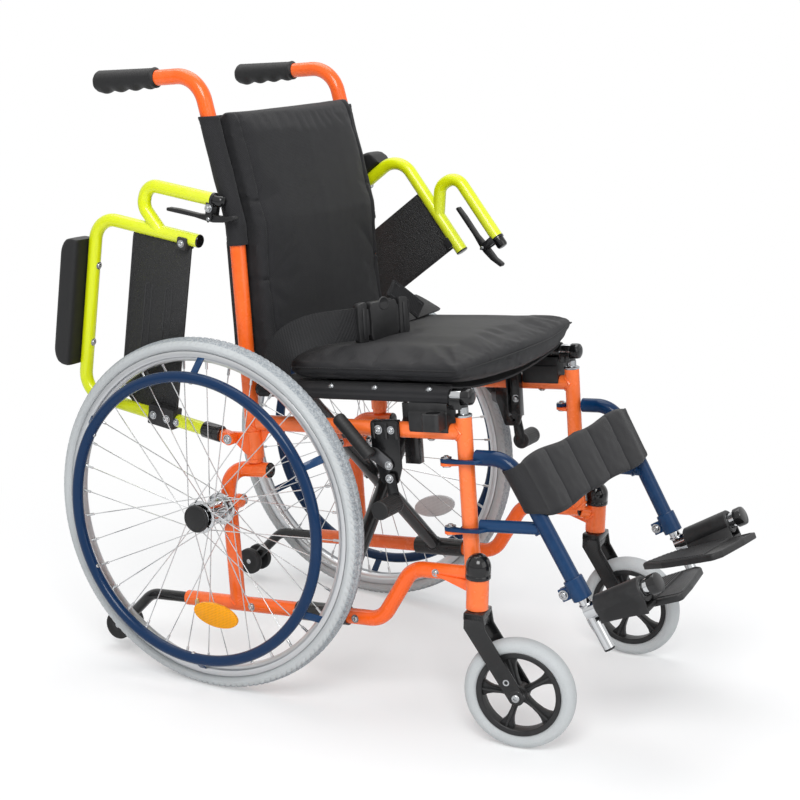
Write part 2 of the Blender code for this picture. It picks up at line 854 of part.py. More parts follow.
def castor_parts(side):
    sign = sides[side]
    stem = Vector((stem_plane * sign, -stem_forward, 0))
    turn = castor_turn[side]
    ahead = Vector((math.sin(turn), -math.cos(turn), 0))
    cross = Vector((0, 0, 1)).cross(ahead)
    up = Vector((0, 0, 1))
    swivel = pivot("castor_swivel_" + side, stem + up * housing_low, up, frames[side])
    hub = stem + ahead * castor_trail + up * castor_radius
    spin = pivot("castor_spin_" + side, hub, cross, swivel)

    crown_top = housing_low - running_gap
    crown_low = crown_top - fork_crown_height
    half_gap = fork_gap / 2
    add = [block(stem + ahead * 0.001 + up * (crown_top + crown_low) / 2,
                 (fork_gap + 2 * fork_blade, fork_blade_width + 0.004, fork_crown_height),
                 (cross, ahead, up))]
    half = fork_blade_width / 2
    slant = (hub - stem - up * crown_low)
    slant = Vector((slant.dot(ahead), slant.z)).normalized()
    square = Vector((-slant.y, slant.x))
    outline = []
    for trail, height in ((-half, crown_top), (half + 0.002, crown_top), (half + 0.006, crown_low)):
        outline.append((trail, height))
    for step in range(7):
        angle = math.pi * step / 6
        swing = square * math.cos(angle) * 0.0115 + slant * math.sin(angle) * 0.0115
        outline.append((castor_trail + swing.x, castor_radius + swing.y))
    outline.append((-half, crown_low))
    for blade_side in (-1, 1):
        shift = cross * blade_side * (half_gap + fork_blade / 2)
        points = [stem + ahead * trail + up * height + shift for trail, height in outline]
        add.append(plate(points, fork_blade, cross))
    add.append(rod(stem + up * crown_low, stem + up * (housing_high - 0.001), stem_radius))
    reach = half_gap + fork_blade + 0.002
    add.append(rod(hub - cross * reach, hub + cross * reach, castor_axle_radius))
    for end in (-1, 1):
        face = half_gap + fork_blade - 0.0005
        add.append(rod(hub + cross * end * face, hub + cross * end * (face + 0.004), 0.0065, 6))
    node("castor_fork_" + side, "black_paint", add, (), swivel)

    half_width = castor_width / 2
    height = castor_tyre_height
    pairs = ((0, 0.80 * half_width), (0.40 * height, half_width), (0.80 * height, 0.70 * half_width),
             (height, 0.20 * half_width))
    profile = ring_profile(pairs, castor_radius - height)
    tyre = turned(profile, hub, cross, castor_steps, True, -up)
    node("castor_tyre_" + side, "grey_tyre", [tyre], (), spin)

    rim_outer = castor_radius - height - touch_gap
    rim_inner = rim_outer - castor_rim_depth
    rim_half = 0.72 * half_width
    rim = turned([(rim_inner, -rim_half), (rim_outer, -rim_half), (rim_outer, rim_half),
                  (rim_inner, rim_half)], hub, cross, castor_steps, True, -up)
    hub_half = half_gap - running_gap
    wheel = [rim, rod(hub - cross * hub_half, hub + cross * hub_half, castor_hub_radius)]
    for index in range(castor_spokes):
        angle = 2 * math.pi * (index + 0.5) / castor_spokes
        run = ahead * math.cos(angle) + up * math.sin(angle)
        side_way = run.cross(cross)
        narrow = hub + run * (castor_hub_radius - 0.003)
        wide = hub + run * (rim_inner + 0.002)
        points = [narrow - side_way * 0.0045, wide - side_way * 0.0065,
                  wide + side_way * 0.0065, narrow + side_way * 0.0045]
        wheel.append(plate(points, rim_half * 1.2, cross))
    hole = bore(hub - cross * half_gap * 1.2, hub + cross * half_gap * 1.2,
                castor_axle_radius, running_gap)
    node("castor_wheel_" + side, "black_plastic", wheel, [hole], spin)

    base = housing_high + touch_gap
    dome = [(dome_radius, 0), (dome_radius, 0.45 * dome_height)]
    for step in range(1, 5):
        angle = math.pi / 2 * step / 4.6
        dome.append((dome_radius * math.cos(angle),
                     0.45 * dome_height + 0.55 * dome_height * math.sin(angle)))
    node("castor_cap_" + side, "black_plastic",
         [turned(dome, stem + up * base, up, 12)], (), frames[side])


# Cross braces, rails and what carries them

def brace_shapes(foot_sign, along):
    # The sleeve on the lower tube of one side, the brace, and the rail of the other side.
    foot = tilted(side_plane * foot_sign, along, low_tube_up)
    head = tilted(-side_plane * foot_sign, along, rail_up)
    run = (head - foot).normalized()
    inner = frame_radius + touch_gap
    outer = inner + sleeve_wall
    sleeve_start = tilted(side_plane * foot_sign, sleeve_rear, low_tube_up)
    rail_x = -side_plane * foot_sign
    cap_start = tilted(rail_x, rail_front, rail_up)
    return [
        turned([(inner, 0), (inner, sleeve_length), (outer, sleeve_length), (outer, 0)],
               sleeve_start, forward, 14, True),
        tube([foot + run * (inner + sleeve_wall / 2), head], brace_radius),
        rod(tilted(rail_x, rail_rear, rail_up), tilted(rail_x, rail_front, rail_up), rail_radius,
            12),
        rod(cap_start, cap_start + forward * rail_cap_length, rail_cap_radius, 12),
    ]


def cross_braces():
    middle_up = (low_tube_up + rail_up) / 2
    rear_face = tilted(0, brace_rear_along + brace_radius - 0.002, middle_up)
    front_face = tilted(0, brace_front_along + brace_radius + touch_gap, middle_up)
    rear = brace_shapes(1, brace_rear_along)
    rear.append(rod(tilted(0, brace_rear_along, middle_up), front_face + forward * 0.001,
                    pivot_radius))
    rear.append(rod(front_face, front_face + forward * pivot_head_height, pivot_head_radius, 6))
    washer_end = tilted(0, brace_front_along - brace_radius - touch_gap, middle_up)
    rear.append(rod(rear_face, washer_end, pivot_head_radius))
    node("cross_brace_left", "black_paint", rear, (), fold_cross)
    hole = bore(tilted(0, brace_rear_along, middle_up), tilted(0, brace_front_along * 1.3, middle_up),
                pivot_radius, running_gap)
    node("cross_brace_right", "black_paint", brace_shapes(-1, brace_front_along), [hole], fold)


def link_start(sign):
    along = brace_front_along + brace_radius + touch_gap + link_thickness / 2
    return tilted((side_plane - link_inboard) * sign, along, link_up)


def folding_link(side):
    # A flat bar from the upper side tube to the brace that carries this side's rail.
    sign = sides[side]
    start = link_start(sign)
    reach = side_plane - link_reach * math.cos(brace_slope)
    along = brace_front_along + brace_radius + touch_gap + link_thickness / 2
    meet = tilted(reach * sign, along, rail_up - link_reach * math.sin(brace_slope))
    swing = pivot("link_swing_" + side, start, forward, frames[side])
    run = (meet - start).normalized()
    square = run.cross(forward)
    half = link_width / 2 - 0.001
    outline = []
    for centre, first in ((start, 0.5), (meet, -0.5)):
        for step in range(7):
            turn = math.pi * (first + step / 6)
            outline.append(centre + run * half * math.cos(turn) + square * half * math.sin(turn))
    add = [plate(outline, link_thickness, forward)]
    hole = bore(start - forward * link_thickness, start + forward * link_thickness,
                link_pin_radius, running_gap)
    node("folding_link_" + side, "orange_paint", add, [hole], swing)


def rail_guide(side):
    sign = sides[side]
    x = side_plane * sign
    middle = (guide_rear + guide_front) / 2
    length = guide_front - guide_rear
    body = block(tilted(x, middle, (guide_top_up + guide_bottom_up) / 2),
                 (2 * guide_half_width, length, guide_top_up - guide_bottom_up))
    cup_half = arm_tip_radius + 0.0016 + cup_wall
    cup_along = arm_pivot_along + arm_branch_leg
    cup_x = arm_plane * sign
    cup_rear = min(cup_along - cup_half, middle)
    cup_front = max(cup_along + cup_half, middle)
    cup = block(tilted(cup_x, (cup_rear + cup_front) / 2, (cup_top_up + cup_bottom_up) / 2),
                (2 * cup_half, cup_front - cup_rear, cup_top_up - cup_bottom_up))
    waist = block(tilted(x, middle, guide_top_up), (0.04, 0.008, 0.012))
    cut = [
        bore(tilted(x, guide_rear - 0.01, top_tube_up), tilted(x, guide_front + 0.01, top_tube_up),
             frame_radius, touch_gap),
        block(tilted(x, middle, guide_bottom_up), (2 * (frame_radius + touch_gap), length + 0.02,
                                                   2 * (top_tube_up - guide_bottom_up))),
        bore(tilted(x, guide_rear - 0.01, rail_up), tilted(x, guide_front + 0.01, rail_up),
             rail_hem_radius, 2 * touch_gap),
        bore(tilted(cup_x, cup_along, cup_floor_up), tilted(cup_x, cup_along, cup_top_up + 0.01),
             arm_tip_radius, 0.0012),
        waist,
    ]
    return node("rail_guide_" + side, "black_plastic", [body, cup], cut, frames[side])


def frame_channel(side):
    # The folded steel channel clipped inboard of the upper side tube.
    sign = sides[side]
    outer = side_plane - frame_radius - touch_gap
    x = (outer - channel_depth / 2) * sign
    up = (channel_low_up + channel_high_up) / 2
    height = channel_high_up - channel_low_up
    body = block(tilted(x, channel_along, up), (channel_depth, channel_width, height))
    hollow = block(tilted(x - channel_wall * sign, channel_along, up),
                   (channel_depth, channel_width - 2 * channel_wall, height + 0.01))
    return node("frame_channel_" + side, "black_paint", [body], [hollow], frames[side])


# Seat and back

def seat_sling():
    # Cloth between the rails, its hems wrapped over them and a little sag between.
    section = []
    inner = rail_radius + touch_gap
    outer = inner + cloth
    steps = 7
    for k in range(steps + 1):
        turn = math.pi / 2 - hem_wrap * (1 - k / steps)
        section.append((side_plane + outer * math.cos(turn), outer * math.sin(turn)))
    for k in range(1, 12):
        share = k / 12
        x = side_plane * (1 - 2 * share)
        section.append((x, outer - sling_sag * math.sin(math.pi * share)))
    for k in range(steps + 1):
        turn = math.pi / 2 + hem_wrap * k / steps
        section.append((-side_plane + outer * math.cos(turn), outer * math.sin(turn)))
    for k in range(steps + 1):
        turn = math.pi / 2 + hem_wrap * (1 - k / steps)
        section.append((-side_plane + inner * math.cos(turn), inner * math.sin(turn)))
    for k in range(1, 12):
        share = 1 - k / 12
        x = side_plane * (1 - 2 * share)
        section.append((x, inner - sling_sag * math.sin(math.pi * share)))
    for k in range(steps + 1):
        turn = math.pi / 2 - hem_wrap * k / steps
        section.append((side_plane + inner * math.cos(turn), inner * math.sin(turn)))
    ends = [[tilted(x, along, rail_up + up) for x, up in section] for along in (hem_rear, hem_front)]
    return node("seat_sling", "black_cloth", [skin(ends)], (), seat_holder)


def soft_edge(share, corner):
    # Goes from 0 at the ends of a run to 1 inside it.
    near = min(share, 1 - share) / corner
    return 1.0 if near >= 1 else math.sqrt(max(0.0, 1 - (1 - near) ** 2))


def seat_cushion():
    rings = []
    count = 20
    around = 22
    base = rail_up + rail_hem_radius + touch_gap
    rail_inside = side_plane - rail_cap_radius - 0.004
    for i in range(count + 1):
        share = i / count
        fullness = 0.30 + 0.70 * soft_edge(share, 0.16)
        channel = 1 - 0.09 * (0.5 + 0.5 * math.cos(2 * math.pi * cushion_channels * share)) ** 6
        along = cushion_rear + (cushion_front - cushion_rear) * share
        half = cushion_half_width - 0.012 * (1 - soft_edge(share, 0.12))
        droop = cushion_droop * max(0.0, (share - 0.72) / 0.28) ** 2
        ring = []
        for j in range(around):
            turn = 2 * math.pi * j / around
            c = math.cos(turn)
            s = math.sin(turn)
            x = half * math.copysign(abs(c) ** 0.30, c)
            level = math.copysign(abs(s) ** 0.55, s)
            across_share = x / cushion_half_width
            crown = cushion_crown * (1 - across_share ** 2)
            thick = cushion_thickness * fullness * channel
            if level > 0:
                up = thick * (0.5 + 0.5 * level) + crown * level * fullness
            else:
                sag = sling_sag * max(0.0, math.cos(math.pi / 2 * x / side_plane))
                up = thick * (0.5 + 0.5 * level) - sag * level ** 2
            if level <= 0:
                past_cloth = along - (cushion_front - cushion_rear) / count > hem_front
                between_rails = min(1.0, max(0.0, (rail_inside - abs(x)) / 0.02))
                up -= droop * between_rails if past_cloth else 0.0
            else:
                up -= droop
            if abs(x) > rail_inside - 0.010:
                up = max(up, 0.0005)
            ring.append(tilted(x, along, base + up))
        rings.append(ring)
    return node("seat_cushion", "black_cloth", [skin(rings)], (), seat_holder, 70)


def back_centre(up, offset):
    # The line of the canes, moved forward by the offset.
    if up <= cane_straight_up:
        along = cane_along
    else:
        along = cane_along - (up - cane_straight_up) * math.tan(cane_lean)
    return along + offset


def back_sling():
    rear = -frame_radius + cloth
    ups = [back_cloth_low_up, cane_straight_up, pocket_high_up]
    gap_half = side_plane - frame_radius - touch_gap
    rings = []
    for up in ups:
        along = back_centre(up, rear)
        rings.append([tilted(-gap_half, along - cloth / 2, up), tilted(gap_half, along - cloth / 2, up),
                      tilted(gap_half, along + cloth / 2, up),
                      tilted(-gap_half, along + cloth / 2, up)])
    add = [skin(rings)]
    cut = []
    for sign in (-1, 1):
        x = side_plane * sign
        run = [tilted(x, back_centre(pocket_low_up, 0), pocket_low_up),
               tilted(x, cane_along, cane_straight_up),
               tilted(x, back_centre(pocket_high_up, 0), pocket_high_up)]
        wall = frame_radius + touch_gap + pocket_wall
        add.append(tube(run, wall, handle_bend, 12, 2))
        long_run = [run[0] - upward * 0.02, run[1],
                    tilted(x, back_centre(pocket_high_up + 0.02, 0), pocket_high_up + 0.02)]
        cut.append(tube(long_run, frame_radius + 3 * touch_gap, handle_bend, 12, 3))
    return node("back_sling", "black_cloth", add, cut, chair)


def back_cushion():
    rings = []
    count = 21
    around = 20
    rear = -frame_radius + 1.5 * cloth + touch_gap
    for i in range(count + 1):
        share = i / count
        up = back_low_up + (back_high_up - back_low_up) * share
        fullness = 0.42 + 0.58 * soft_edge(share, 0.10)
        pinch = (0.5 + 0.5 * math.cos(2 * math.pi * back_sections * share)) ** 16
        half = back_half_width - 0.004 * (1 - soft_edge(share, 0.08)) - 0.002 * pinch
        foot = 0.014 * max(0.0, (0.20 - share) / 0.20) ** 1.5
        ring = []
        for j in range(around):
            turn = 2 * math.pi * j / around
            c = math.cos(turn)
            s = math.sin(turn)
            x = half * math.copysign(abs(c) ** 0.30, c)
            level = math.copysign(abs(s) ** 0.55, s)
            crown = back_crown * (1 - (x / back_half_width) ** 2) * max(0.0, level)
            depth = back_thickness * fullness * (0.5 + 0.5 * level) + crown + foot * max(0.0, level)
            ring.append(tilted(x, back_centre(up, rear + depth), up))
        rings.append(ring)
    return node("back_cushion", "black_cloth", [skin(rings)], (), chair, 70)


# Armrests

def arm_point(side, x, ahead, height):
    # A point of the armrest, leaned back from its place in use.
    lean = arm_lean[side]
    along = arm_pivot_along + ahead * math.cos(lean) - height * math.sin(lean)
    up = arm_pivot_up + ahead * math.sin(lean) + height * math.cos(lean)
    return tilted(x, along, up)


def armrest(side):
    sign = sides[side]
    x = arm_plane * sign

    def at(ahead, height, where=x):
        return arm_point(side, where, ahead, height)

    hinge = pivot("armrest_flip_" + side, at(0, 0), across, frames[side])
    ahead_way = (at(1, 0) - at(0, 0)).normalized()
    up_way = (at(0, 1) - at(0, 0)).normalized()
    main = tube([at(arm_rear_leg, 0.012), at(arm_rear_leg, arm_top), at(arm_front_leg, arm_top),
                 at(arm_front_leg, arm_front_end)], arm_radius, arm_bend)
    branch = tube([at(arm_front_leg, arm_branch_leaves),
                   at(arm_front_leg + 0.030, arm_branch_top),
                   at(arm_branch_leg, arm_branch_top - 0.004),
                   at(arm_branch_leg, arm_branch_end)], arm_radius, 0.020, 12, 4)
    tongue_x = (tongue_inner + tongue_thickness / 2) * sign
    tongue = []
    for step in range(9):
        turn = math.pi * (1 + step / 8)
        tongue.append(at(0, 0, tongue_x) + ahead_way * tongue_radius * math.cos(turn)
                      + up_way * tongue_radius * math.sin(turn))
    tongue.append(at(arm_rear_leg + 0.007, 0.020, tongue_x))
    tongue.append(at(arm_rear_leg - 0.007, 0.020, tongue_x))
    tip = rod(at(arm_branch_leg, arm_branch_end + 0.004), at(arm_branch_leg,
              arm_branch_end - arm_tip_length + 0.004), arm_tip_radius)
    ear_ahead = (arm_branch_leg + latch_along) / 2
    ears = block(at(ear_ahead, latch_pivot), (latch_width + 0.008,
                 arm_branch_leg - latch_along, 0.010), (across, ahead_way, up_way))
    slot = block(at(latch_along, latch_pivot), (latch_width + 2 * touch_gap, 0.034, 0.04),
                 (across, ahead_way, up_way))
    keep = block(at(arm_branch_leg + 0.002, latch_pivot), (latch_width + 0.008, 0.014, 0.010),
                 (across, ahead_way, up_way))
    pin = rod(at(latch_along, latch_pivot, x - 0.009), at(latch_along, latch_pivot, x + 0.009),
              latch_pin_radius)
    hole = bore(at(0, 0, x - 0.02), at(0, 0, x + 0.02), arm_pin_radius, running_gap)
    node("armrest_frame_" + side, "lime_paint",
         [main, branch, plate(tongue, tongue_thickness, across), tip, keep, ears, pin],
         [slot, hole], hinge)
    pad_middle = x + pad_offset * sign
    node("arm_pad_" + side, "black_plastic", [pad_shape(at, pad_middle)], (), hinge, 60)
    node("skirt_guard_" + side, "black_plastic", guard_shapes(at, ahead_way, up_way, sign),
         [bore(at(arm_rear_leg, 0.02), at(arm_rear_leg, arm_top), arm_radius, touch_gap),
          bore(at(arm_front_leg, arm_front_end - 0.02), at(arm_front_leg, arm_top),
               arm_radius, touch_gap)], hinge)
    latch_hinge = pivot("latch_swing_" + side, at(latch_along, latch_pivot), across, hinge)
    lever = [at(latch_along - 0.0025, latch_high), at(latch_along + 0.0025, latch_high),
             at(latch_along + 0.005, latch_pivot + 0.006),
             at(latch_along + 0.006, latch_pivot - 0.006),
             at(latch_along + 0.0115, latch_low), at(latch_along + 0.006, latch_low - 0.002),
             at(latch_along - 0.004, latch_pivot - 0.006),
             at(latch_along - 0.004, latch_pivot + 0.006)]
    pin_hole = bore(at(latch_along, latch_pivot, x - 0.01), at(latch_along, latch_pivot, x + 0.01),
                    latch_pin_radius, running_gap)
    node("armrest_latch_" + side, "black_plastic", [plate(lever, latch_width, across)],
         [pin_hole], latch_hinge)


def pad_shape(at, middle):
    # A rounded bar whose underside is hollowed to sit on the tube.
    rings = []
    count = 14
    for i in range(count + 1):
        share = i / count
        full = 0.55 + 0.45 * soft_edge(share, 0.12)
        low = arm_top + arm_radius * math.cos(math.pi / 8) + touch_gap
        ring = []
        for j in range(12):
            turn = 2 * math.pi * (j + 0.5) / 12
            c = math.cos(turn)
            s = math.sin(turn)
            wide = pad_width / 2 * (0.85 + 0.15 * full) * math.copysign(abs(c) ** 0.4, c)
            high = pad_height * full * (0.5 + 0.5 * math.copysign(abs(s) ** 0.4, s))
            ring.append(at(pad_rear + pad_length * share, low + high, middle) + across * wide)
        rings.append(ring)
    return skin(rings)


def guard_shapes(at, ahead_way, up_way, sign):
    # The clothes guard fills the lower part of the armrest. Its clamps are open inboard,
    # where the armrest passes the cane.
    front = arm_front_leg - 0.004
    outward = across * sign * clamp_shift
    panel = rounded_path([at(arm_rear_leg + 0.004, guard_low), at(front, guard_low),
                          at(front, guard_high), at(arm_rear_leg + 0.024, guard_high),
                          at(arm_rear_leg + 0.004, guard_high - 0.030)], 0.006, 2, True)
    clamp = block(at(arm_rear_leg + 0.002, guard_low + 0.020) + outward,
                  (2 * arm_radius + 0.003, 0.030, 0.046), (across, ahead_way, up_way))
    clip = block(at(arm_front_leg - 0.0065, guard_low + 0.010) + outward,
                 (2 * arm_radius + 0.003, 0.017, 0.016), (across, ahead_way, up_way))
    return [plate(panel, guard_thickness, across), clamp, clip]


# Brakes

def brake(side):
    sign = sides[side]
    face = side_plane + frame_radius + touch_gap
    plate_x = (face + brake_plate / 2) * sign
    lever_face = face + brake_plate + touch_gap
    shoe_face = lever_face + brake_bar + touch_gap
    lx, ly = lever_pivot
    sx, sy = shoe_pivot
    low = sy - 0.009
    top = top_tube_up + frame_radius + touch_gap
    outline = side_outline(plate_x, (
        (brake_rear, top + 0.003), (brake_front, top + 0.003), (brake_front, ly - 0.004),
        (sx + 0.008, low), (sx - 0.016, low), (brake_rear, ly + 0.014)), 0.004)
    inward = side_plane + 0.004
    flange_x = (inward + face + brake_plate) / 2 * sign
    flange = block(tilted(flange_x, (brake_rear + brake_front) / 2, top + 0.0015),
                   (face + brake_plate - inward, brake_front - brake_rear - 0.006, 0.003))
    bolt = rod(tilted(face * sign, brake_rear + 0.007, top_tube_up + 0.0025),
               tilted((face + brake_plate + 0.0016) * sign, brake_rear + 0.007,
                      top_tube_up + 0.0025), 0.005, 6)
    lever_pin = rod(tilted(plate_x, lx, ly), tilted((shoe_face + 0.001) * sign, lx, ly),
                    brake_pin_radius)
    lever_head = rod(tilted(shoe_face * sign, lx, ly), tilted((shoe_face + 0.0025) * sign, lx, ly),
                     0.005, 6)
    shoe_end = shoe_face + brake_bar + touch_gap
    shoe_pin = rod(tilted(plate_x, sx, sy), tilted((shoe_end + 0.001) * sign, sx, sy),
                   brake_pin_radius)
    shoe_head = rod(tilted(shoe_end * sign, sx, sy), tilted((shoe_end + 0.0025) * sign, sx, sy),
                    0.005, 6)
    node("brake_mount_" + side, "black_paint",
         [plate(outline, brake_plate, across), flange, bolt, lever_pin, lever_head, shoe_pin,
          shoe_head], (), frames[side])

    lever_hinge = pivot("brake_lever_swing_" + side, tilted(lever_face * sign, lx, ly), across,
                        frames[side])
    bar_x = (lever_face + brake_bar / 2) * sign
    gx, gy = brake_grip_start
    ex, ey = brake_grip_end
    bar = side_outline(bar_x, (
        (lx + 0.007, ly - 0.001), (lx + 0.003, ly + 0.008), (gx + 0.006, gy + 0.010),
        (gx - 0.014, gy + 0.012), (gx - 0.012, gy - 0.002), (lx - 0.004, ly - 0.007)), 0.002)
    grip_x = brake_grip_plane * sign
    pull = tilted(0, ex, ey) - tilted(0, gx, gy)
    reach = pull.length
    knob = brake_grip_radius
    lever_grip = turned([(knob, 0), (knob, reach), (0.86 * knob, reach + 0.0045),
                         (0.45 * knob, reach + 0.0075)], tilted(grip_x, gx, gy), pull, 11)
    node("brake_lever_" + side, "black_plastic", [lever_grip, plate(bar, brake_bar, across)],
         [bore(tilted((lever_face - 0.01) * sign, lx, ly),
               tilted((lever_face + 0.02) * sign, lx, ly), brake_pin_radius, running_gap)],
         lever_hinge)

    shoe_hinge = pivot("brake_shoe_swing_" + side, tilted(shoe_face * sign, sx, sy), across, frames[side])
    arm_x = (shoe_face + brake_bar / 2) * sign
    cx, cy = shoe_centre
    arm_plate = side_outline(arm_x, (
        (sx + 0.007, sy + 0.007), (sx - 0.007, sy + 0.007), (cx - 0.009, cy), (cx - 0.004, cy - 0.009),
        (cx + 0.006, cy - 0.009), (cx + 0.009, cy)), 0.003)
    cylinder = rod(tilted(shoe_inner * sign, cx, cy), tilted(shoe_outer * sign, cx, cy),
                   shoe_radius, 12)
    node("brake_shoe_" + side, "black_plastic", [plate(arm_plate, brake_bar, across), cylinder],
         [bore(tilted((shoe_face - 0.01) * sign, sx, sy),
               tilted((shoe_face + 0.02) * sign, sx, sy), brake_pin_radius, running_gap)],
         shoe_hinge)


# Footrests

def rake_point(x, distance):
    # A point down the raked hanger tube, from its upper corner.
    along = hanger_corner + math.sin(hanger_rake) * distance
    up = hanger_top_up - math.cos(hanger_rake) * distance
    return tilted(x, along, up)


def footrest(side):
    sign = sides[side]
    pin_x = hanger_pin_plane * sign
    swing = pivot("hanger_swing_" + side, tilted(pin_x, hanger_pin_along, hanger_top_up), upward,
                  frames[side])
    top_x = side_plane * sign
    foot_x = hanger_foot_plane * sign
    rake_length = (hanger_top_up - hanger_foot_up) / math.cos(hanger_rake)
    foot = rake_point(foot_x, rake_length)
    corner = rake_point(top_x, 0)
    down = (foot - corner).normalized()
    upper = tube([tilted(top_x, hanger_start, hanger_top_up), corner, foot], hanger_radius,
                 hanger_bend)
    low_join = (hanger_top_up - hanger_low_up) / math.cos(hanger_rake)
    lower = tube([tilted(top_x, hanger_start, hanger_low_up), rake_point(foot_x, low_join)],
                 hanger_low_radius)
    add = [upper, lower]
    for tab_up in hanger_tab_ups:
        lug_up = tab_up + tab_thickness / 2 + touch_gap + lug_thickness / 2
        add.append(hanger_lug(sign, lug_up))
    collar_start = foot - down * (collar_span - 0.006)
    collar_end = foot + down * 0.006
    add.append(rod(collar_start, collar_end, collar_outer, 12))
    ear_way = (forward * -1 - down * (forward * -1).dot(down)).normalized()
    ear_middle = foot - down * (collar_span / 2 - 0.006) + ear_way * collar_ear / 2
    ear_side = down.cross(ear_way)
    add.append(block(ear_middle, (0.012, collar_ear, 0.018), (ear_side, ear_way, down)))
    bolt_middle = foot - down * (collar_span / 2 - 0.006) + ear_way * (collar_ear - 0.003)
    add.append(rod(bolt_middle - ear_side * 0.010, bolt_middle + ear_side * 0.010, 0.0055, 6))
    hollow = bore(foot + down * 0.01, foot - down * (slider_inside + 0.004),
                  slider_radius, touch_gap)
    hole_low = tilted(pin_x, hanger_pin_along, min(hanger_tab_ups))
    hole_high = tilted(pin_x, hanger_pin_along, hanger_top_up + 0.02)
    pin_hole = bore(hole_low, hole_high, hanger_pin_radius, running_gap)
    node("footrest_hanger_" + side, "navy_paint", add, [hollow, pin_hole], swing)

    slide = pivot("footrest_slide_" + side, foot, down, swing)
    slider_end = foot + down * slider_below
    foot_start = foot + down * foot_tube_drop
    toe = (forward - down * forward.dot(down)).normalized()
    toe_end = foot_start + toe * foot_tube_length
    add = [rod(foot - down * slider_inside, slider_end, slider_radius, 10),
           rod(foot_start - toe * 0.004, toe_end, foot_tube_radius, 12),
           rod(toe_end - toe * foot_cap_length, toe_end + toe * 0.004, foot_tube_radius + 0.0015,
               12)]
    node("footrest_extension_" + side, "bright_metal", add, (), slide)

    flip = pivot("footplate_flip_" + side, foot_start, toe, slide)
    inboard = (across * -sign - down * (across * -sign).dot(down)).normalized()
    level = toe.cross(inboard).normalized()
    if level.z < 0:
        level = -level
    cover_start = foot_start + toe * foot_cover_start
    cover_end = cover_start + toe * foot_cover_length
    drop = foot_cover_radius - tread_thickness / 2
    outline = [foot_start + inboard * d + toe * f - level * drop for d, f in tread_outline]
    outline = rounded_path(outline, 0.005, 2, True)
    skirt = block(cover_start + toe * foot_cover_length / 2 - inboard * 0.010 - level * 0.010,
                  (0.014, foot_cover_length, 0.020), (inboard, toe, level))
    add = [rod(cover_start, cover_end, foot_cover_radius, 12),
           plate(outline, tread_thickness, level), skirt]
    hollow = bore(cover_start - toe * 0.03, cover_end + toe * 0.06, foot_tube_radius, touch_gap)
    cap_room = bore(toe_end - toe * (foot_cap_length + 0.001), toe_end + toe * 0.03,
                    foot_tube_radius + 0.0015, 2 * touch_gap)
    slider_room = bore(foot - down * 0.03, slider_end + down * 0.03, slider_radius, 0.003)
    top_up = tread_thickness / 2 - drop
    groove = block(foot_start + inboard * tread_groove_place + toe * 0.05 + level * (top_up + 0.002),
                   (tread_groove_width, 0.2, 2 * (0.002 + tread_groove_depth)),
                   (inboard, toe, level))
    node("footplate_" + side, "black_plastic", add, [hollow, cap_room, slider_room, groove], flip)


def hanger_lug(sign, lug_up):
    # A flat ear that runs outboard of the post from the hanger tube to the pin.
    pin_x = hanger_pin_plane
    outer = side_plane + frame_radius + touch_gap
    pairs = [
        (pin_x - lug_radius * 0.7, hanger_pin_along - lug_radius * 0.7),
        (pin_x, hanger_pin_along - lug_radius),
        (pin_x + lug_radius * 0.7, hanger_pin_along - lug_radius * 0.7),
        (pin_x + lug_radius * 1.1, hanger_pin_along + 0.006),
        (outer + 0.009, post_along),
        (outer + 0.007, hanger_start + 0.006),
        (side_plane + 0.004, hanger_start + 0.016),
        (side_plane - 0.004, hanger_start + 0.016),
        (side_plane - 0.004, hanger_start - 0.001),
        (side_plane + frame_radius * 0.5, hanger_start - 0.001),
        (outer + 0.0012, post_along + 0.006),
        (outer + 0.0010, post_along - 0.008),
        (pin_x - 0.001, hanger_pin_along + lug_radius),
        (pin_x - lug_radius * 0.8, hanger_pin_along + lug_radius * 0.5),
    ]
    outline = [tilted(x * sign, along, lug_up) for x, along in pairs]
    return plate(outline, lug_thickness, upward)


def calf_strap():
    # A padded band between the hangers, its ends looped round their tubes.
    rings = []
    per_channel = 6
    count = strap_channels * per_channel
    half = side_plane - 0.004
    loop = hanger_radius + 0.0015
    start = strap_start
    end = strap_start + strap_height
    run = (rake_point(0, end) - rake_point(0, start)).normalized()
    ahead = across.cross(run).normalized()
    if ahead.dot(forward) < 0:
        ahead = -ahead
    for i in range(count + 1):
        share = i / count
        x = -half + 2 * half * share
        swell = abs(math.sin(math.pi * share * strap_channels)) ** 0.5
        front = loop + strap_thickness / 2
        thick = strap_thickness - strap_channel_depth + strap_channel_depth * swell
        ring = []
        for low, far in ((0, -0.45), (0.10, -0.5), (0.90, -0.5), (1, -0.45),
                         (1, 0.40), (0.90, 0.5), (0.5, 0.55), (0.10, 0.5), (0, 0.40)):
            spot = rake_point(x, start + (end - start) * low)
            ring.append(spot + ahead * (front + thick * far))
        rings.append(ring)
    add = [skin(rings)]
    cut = []
    for sign in (-1, 1):
        top = rake_point(side_plane * sign, 0)
        foot = rake_point(hanger_foot_plane * sign,
                          (hanger_top_up - hanger_foot_up) / math.cos(hanger_rake))
        tube_run = (foot - top).normalized()
        first = top + tube_run * start
        last = first + tube_run * strap_loop_height
        add.append(rod(first, last, loop + strap_loop_wall, 12))
        cut.append(bore(first - tube_run * 0.03, last + tube_run * 0.06, hanger_radius, touch_gap))
    return node("calf_strap", "black_cloth", add, cut, bpy.data.objects["hanger_swing_right"])


# Anti-tip tubes

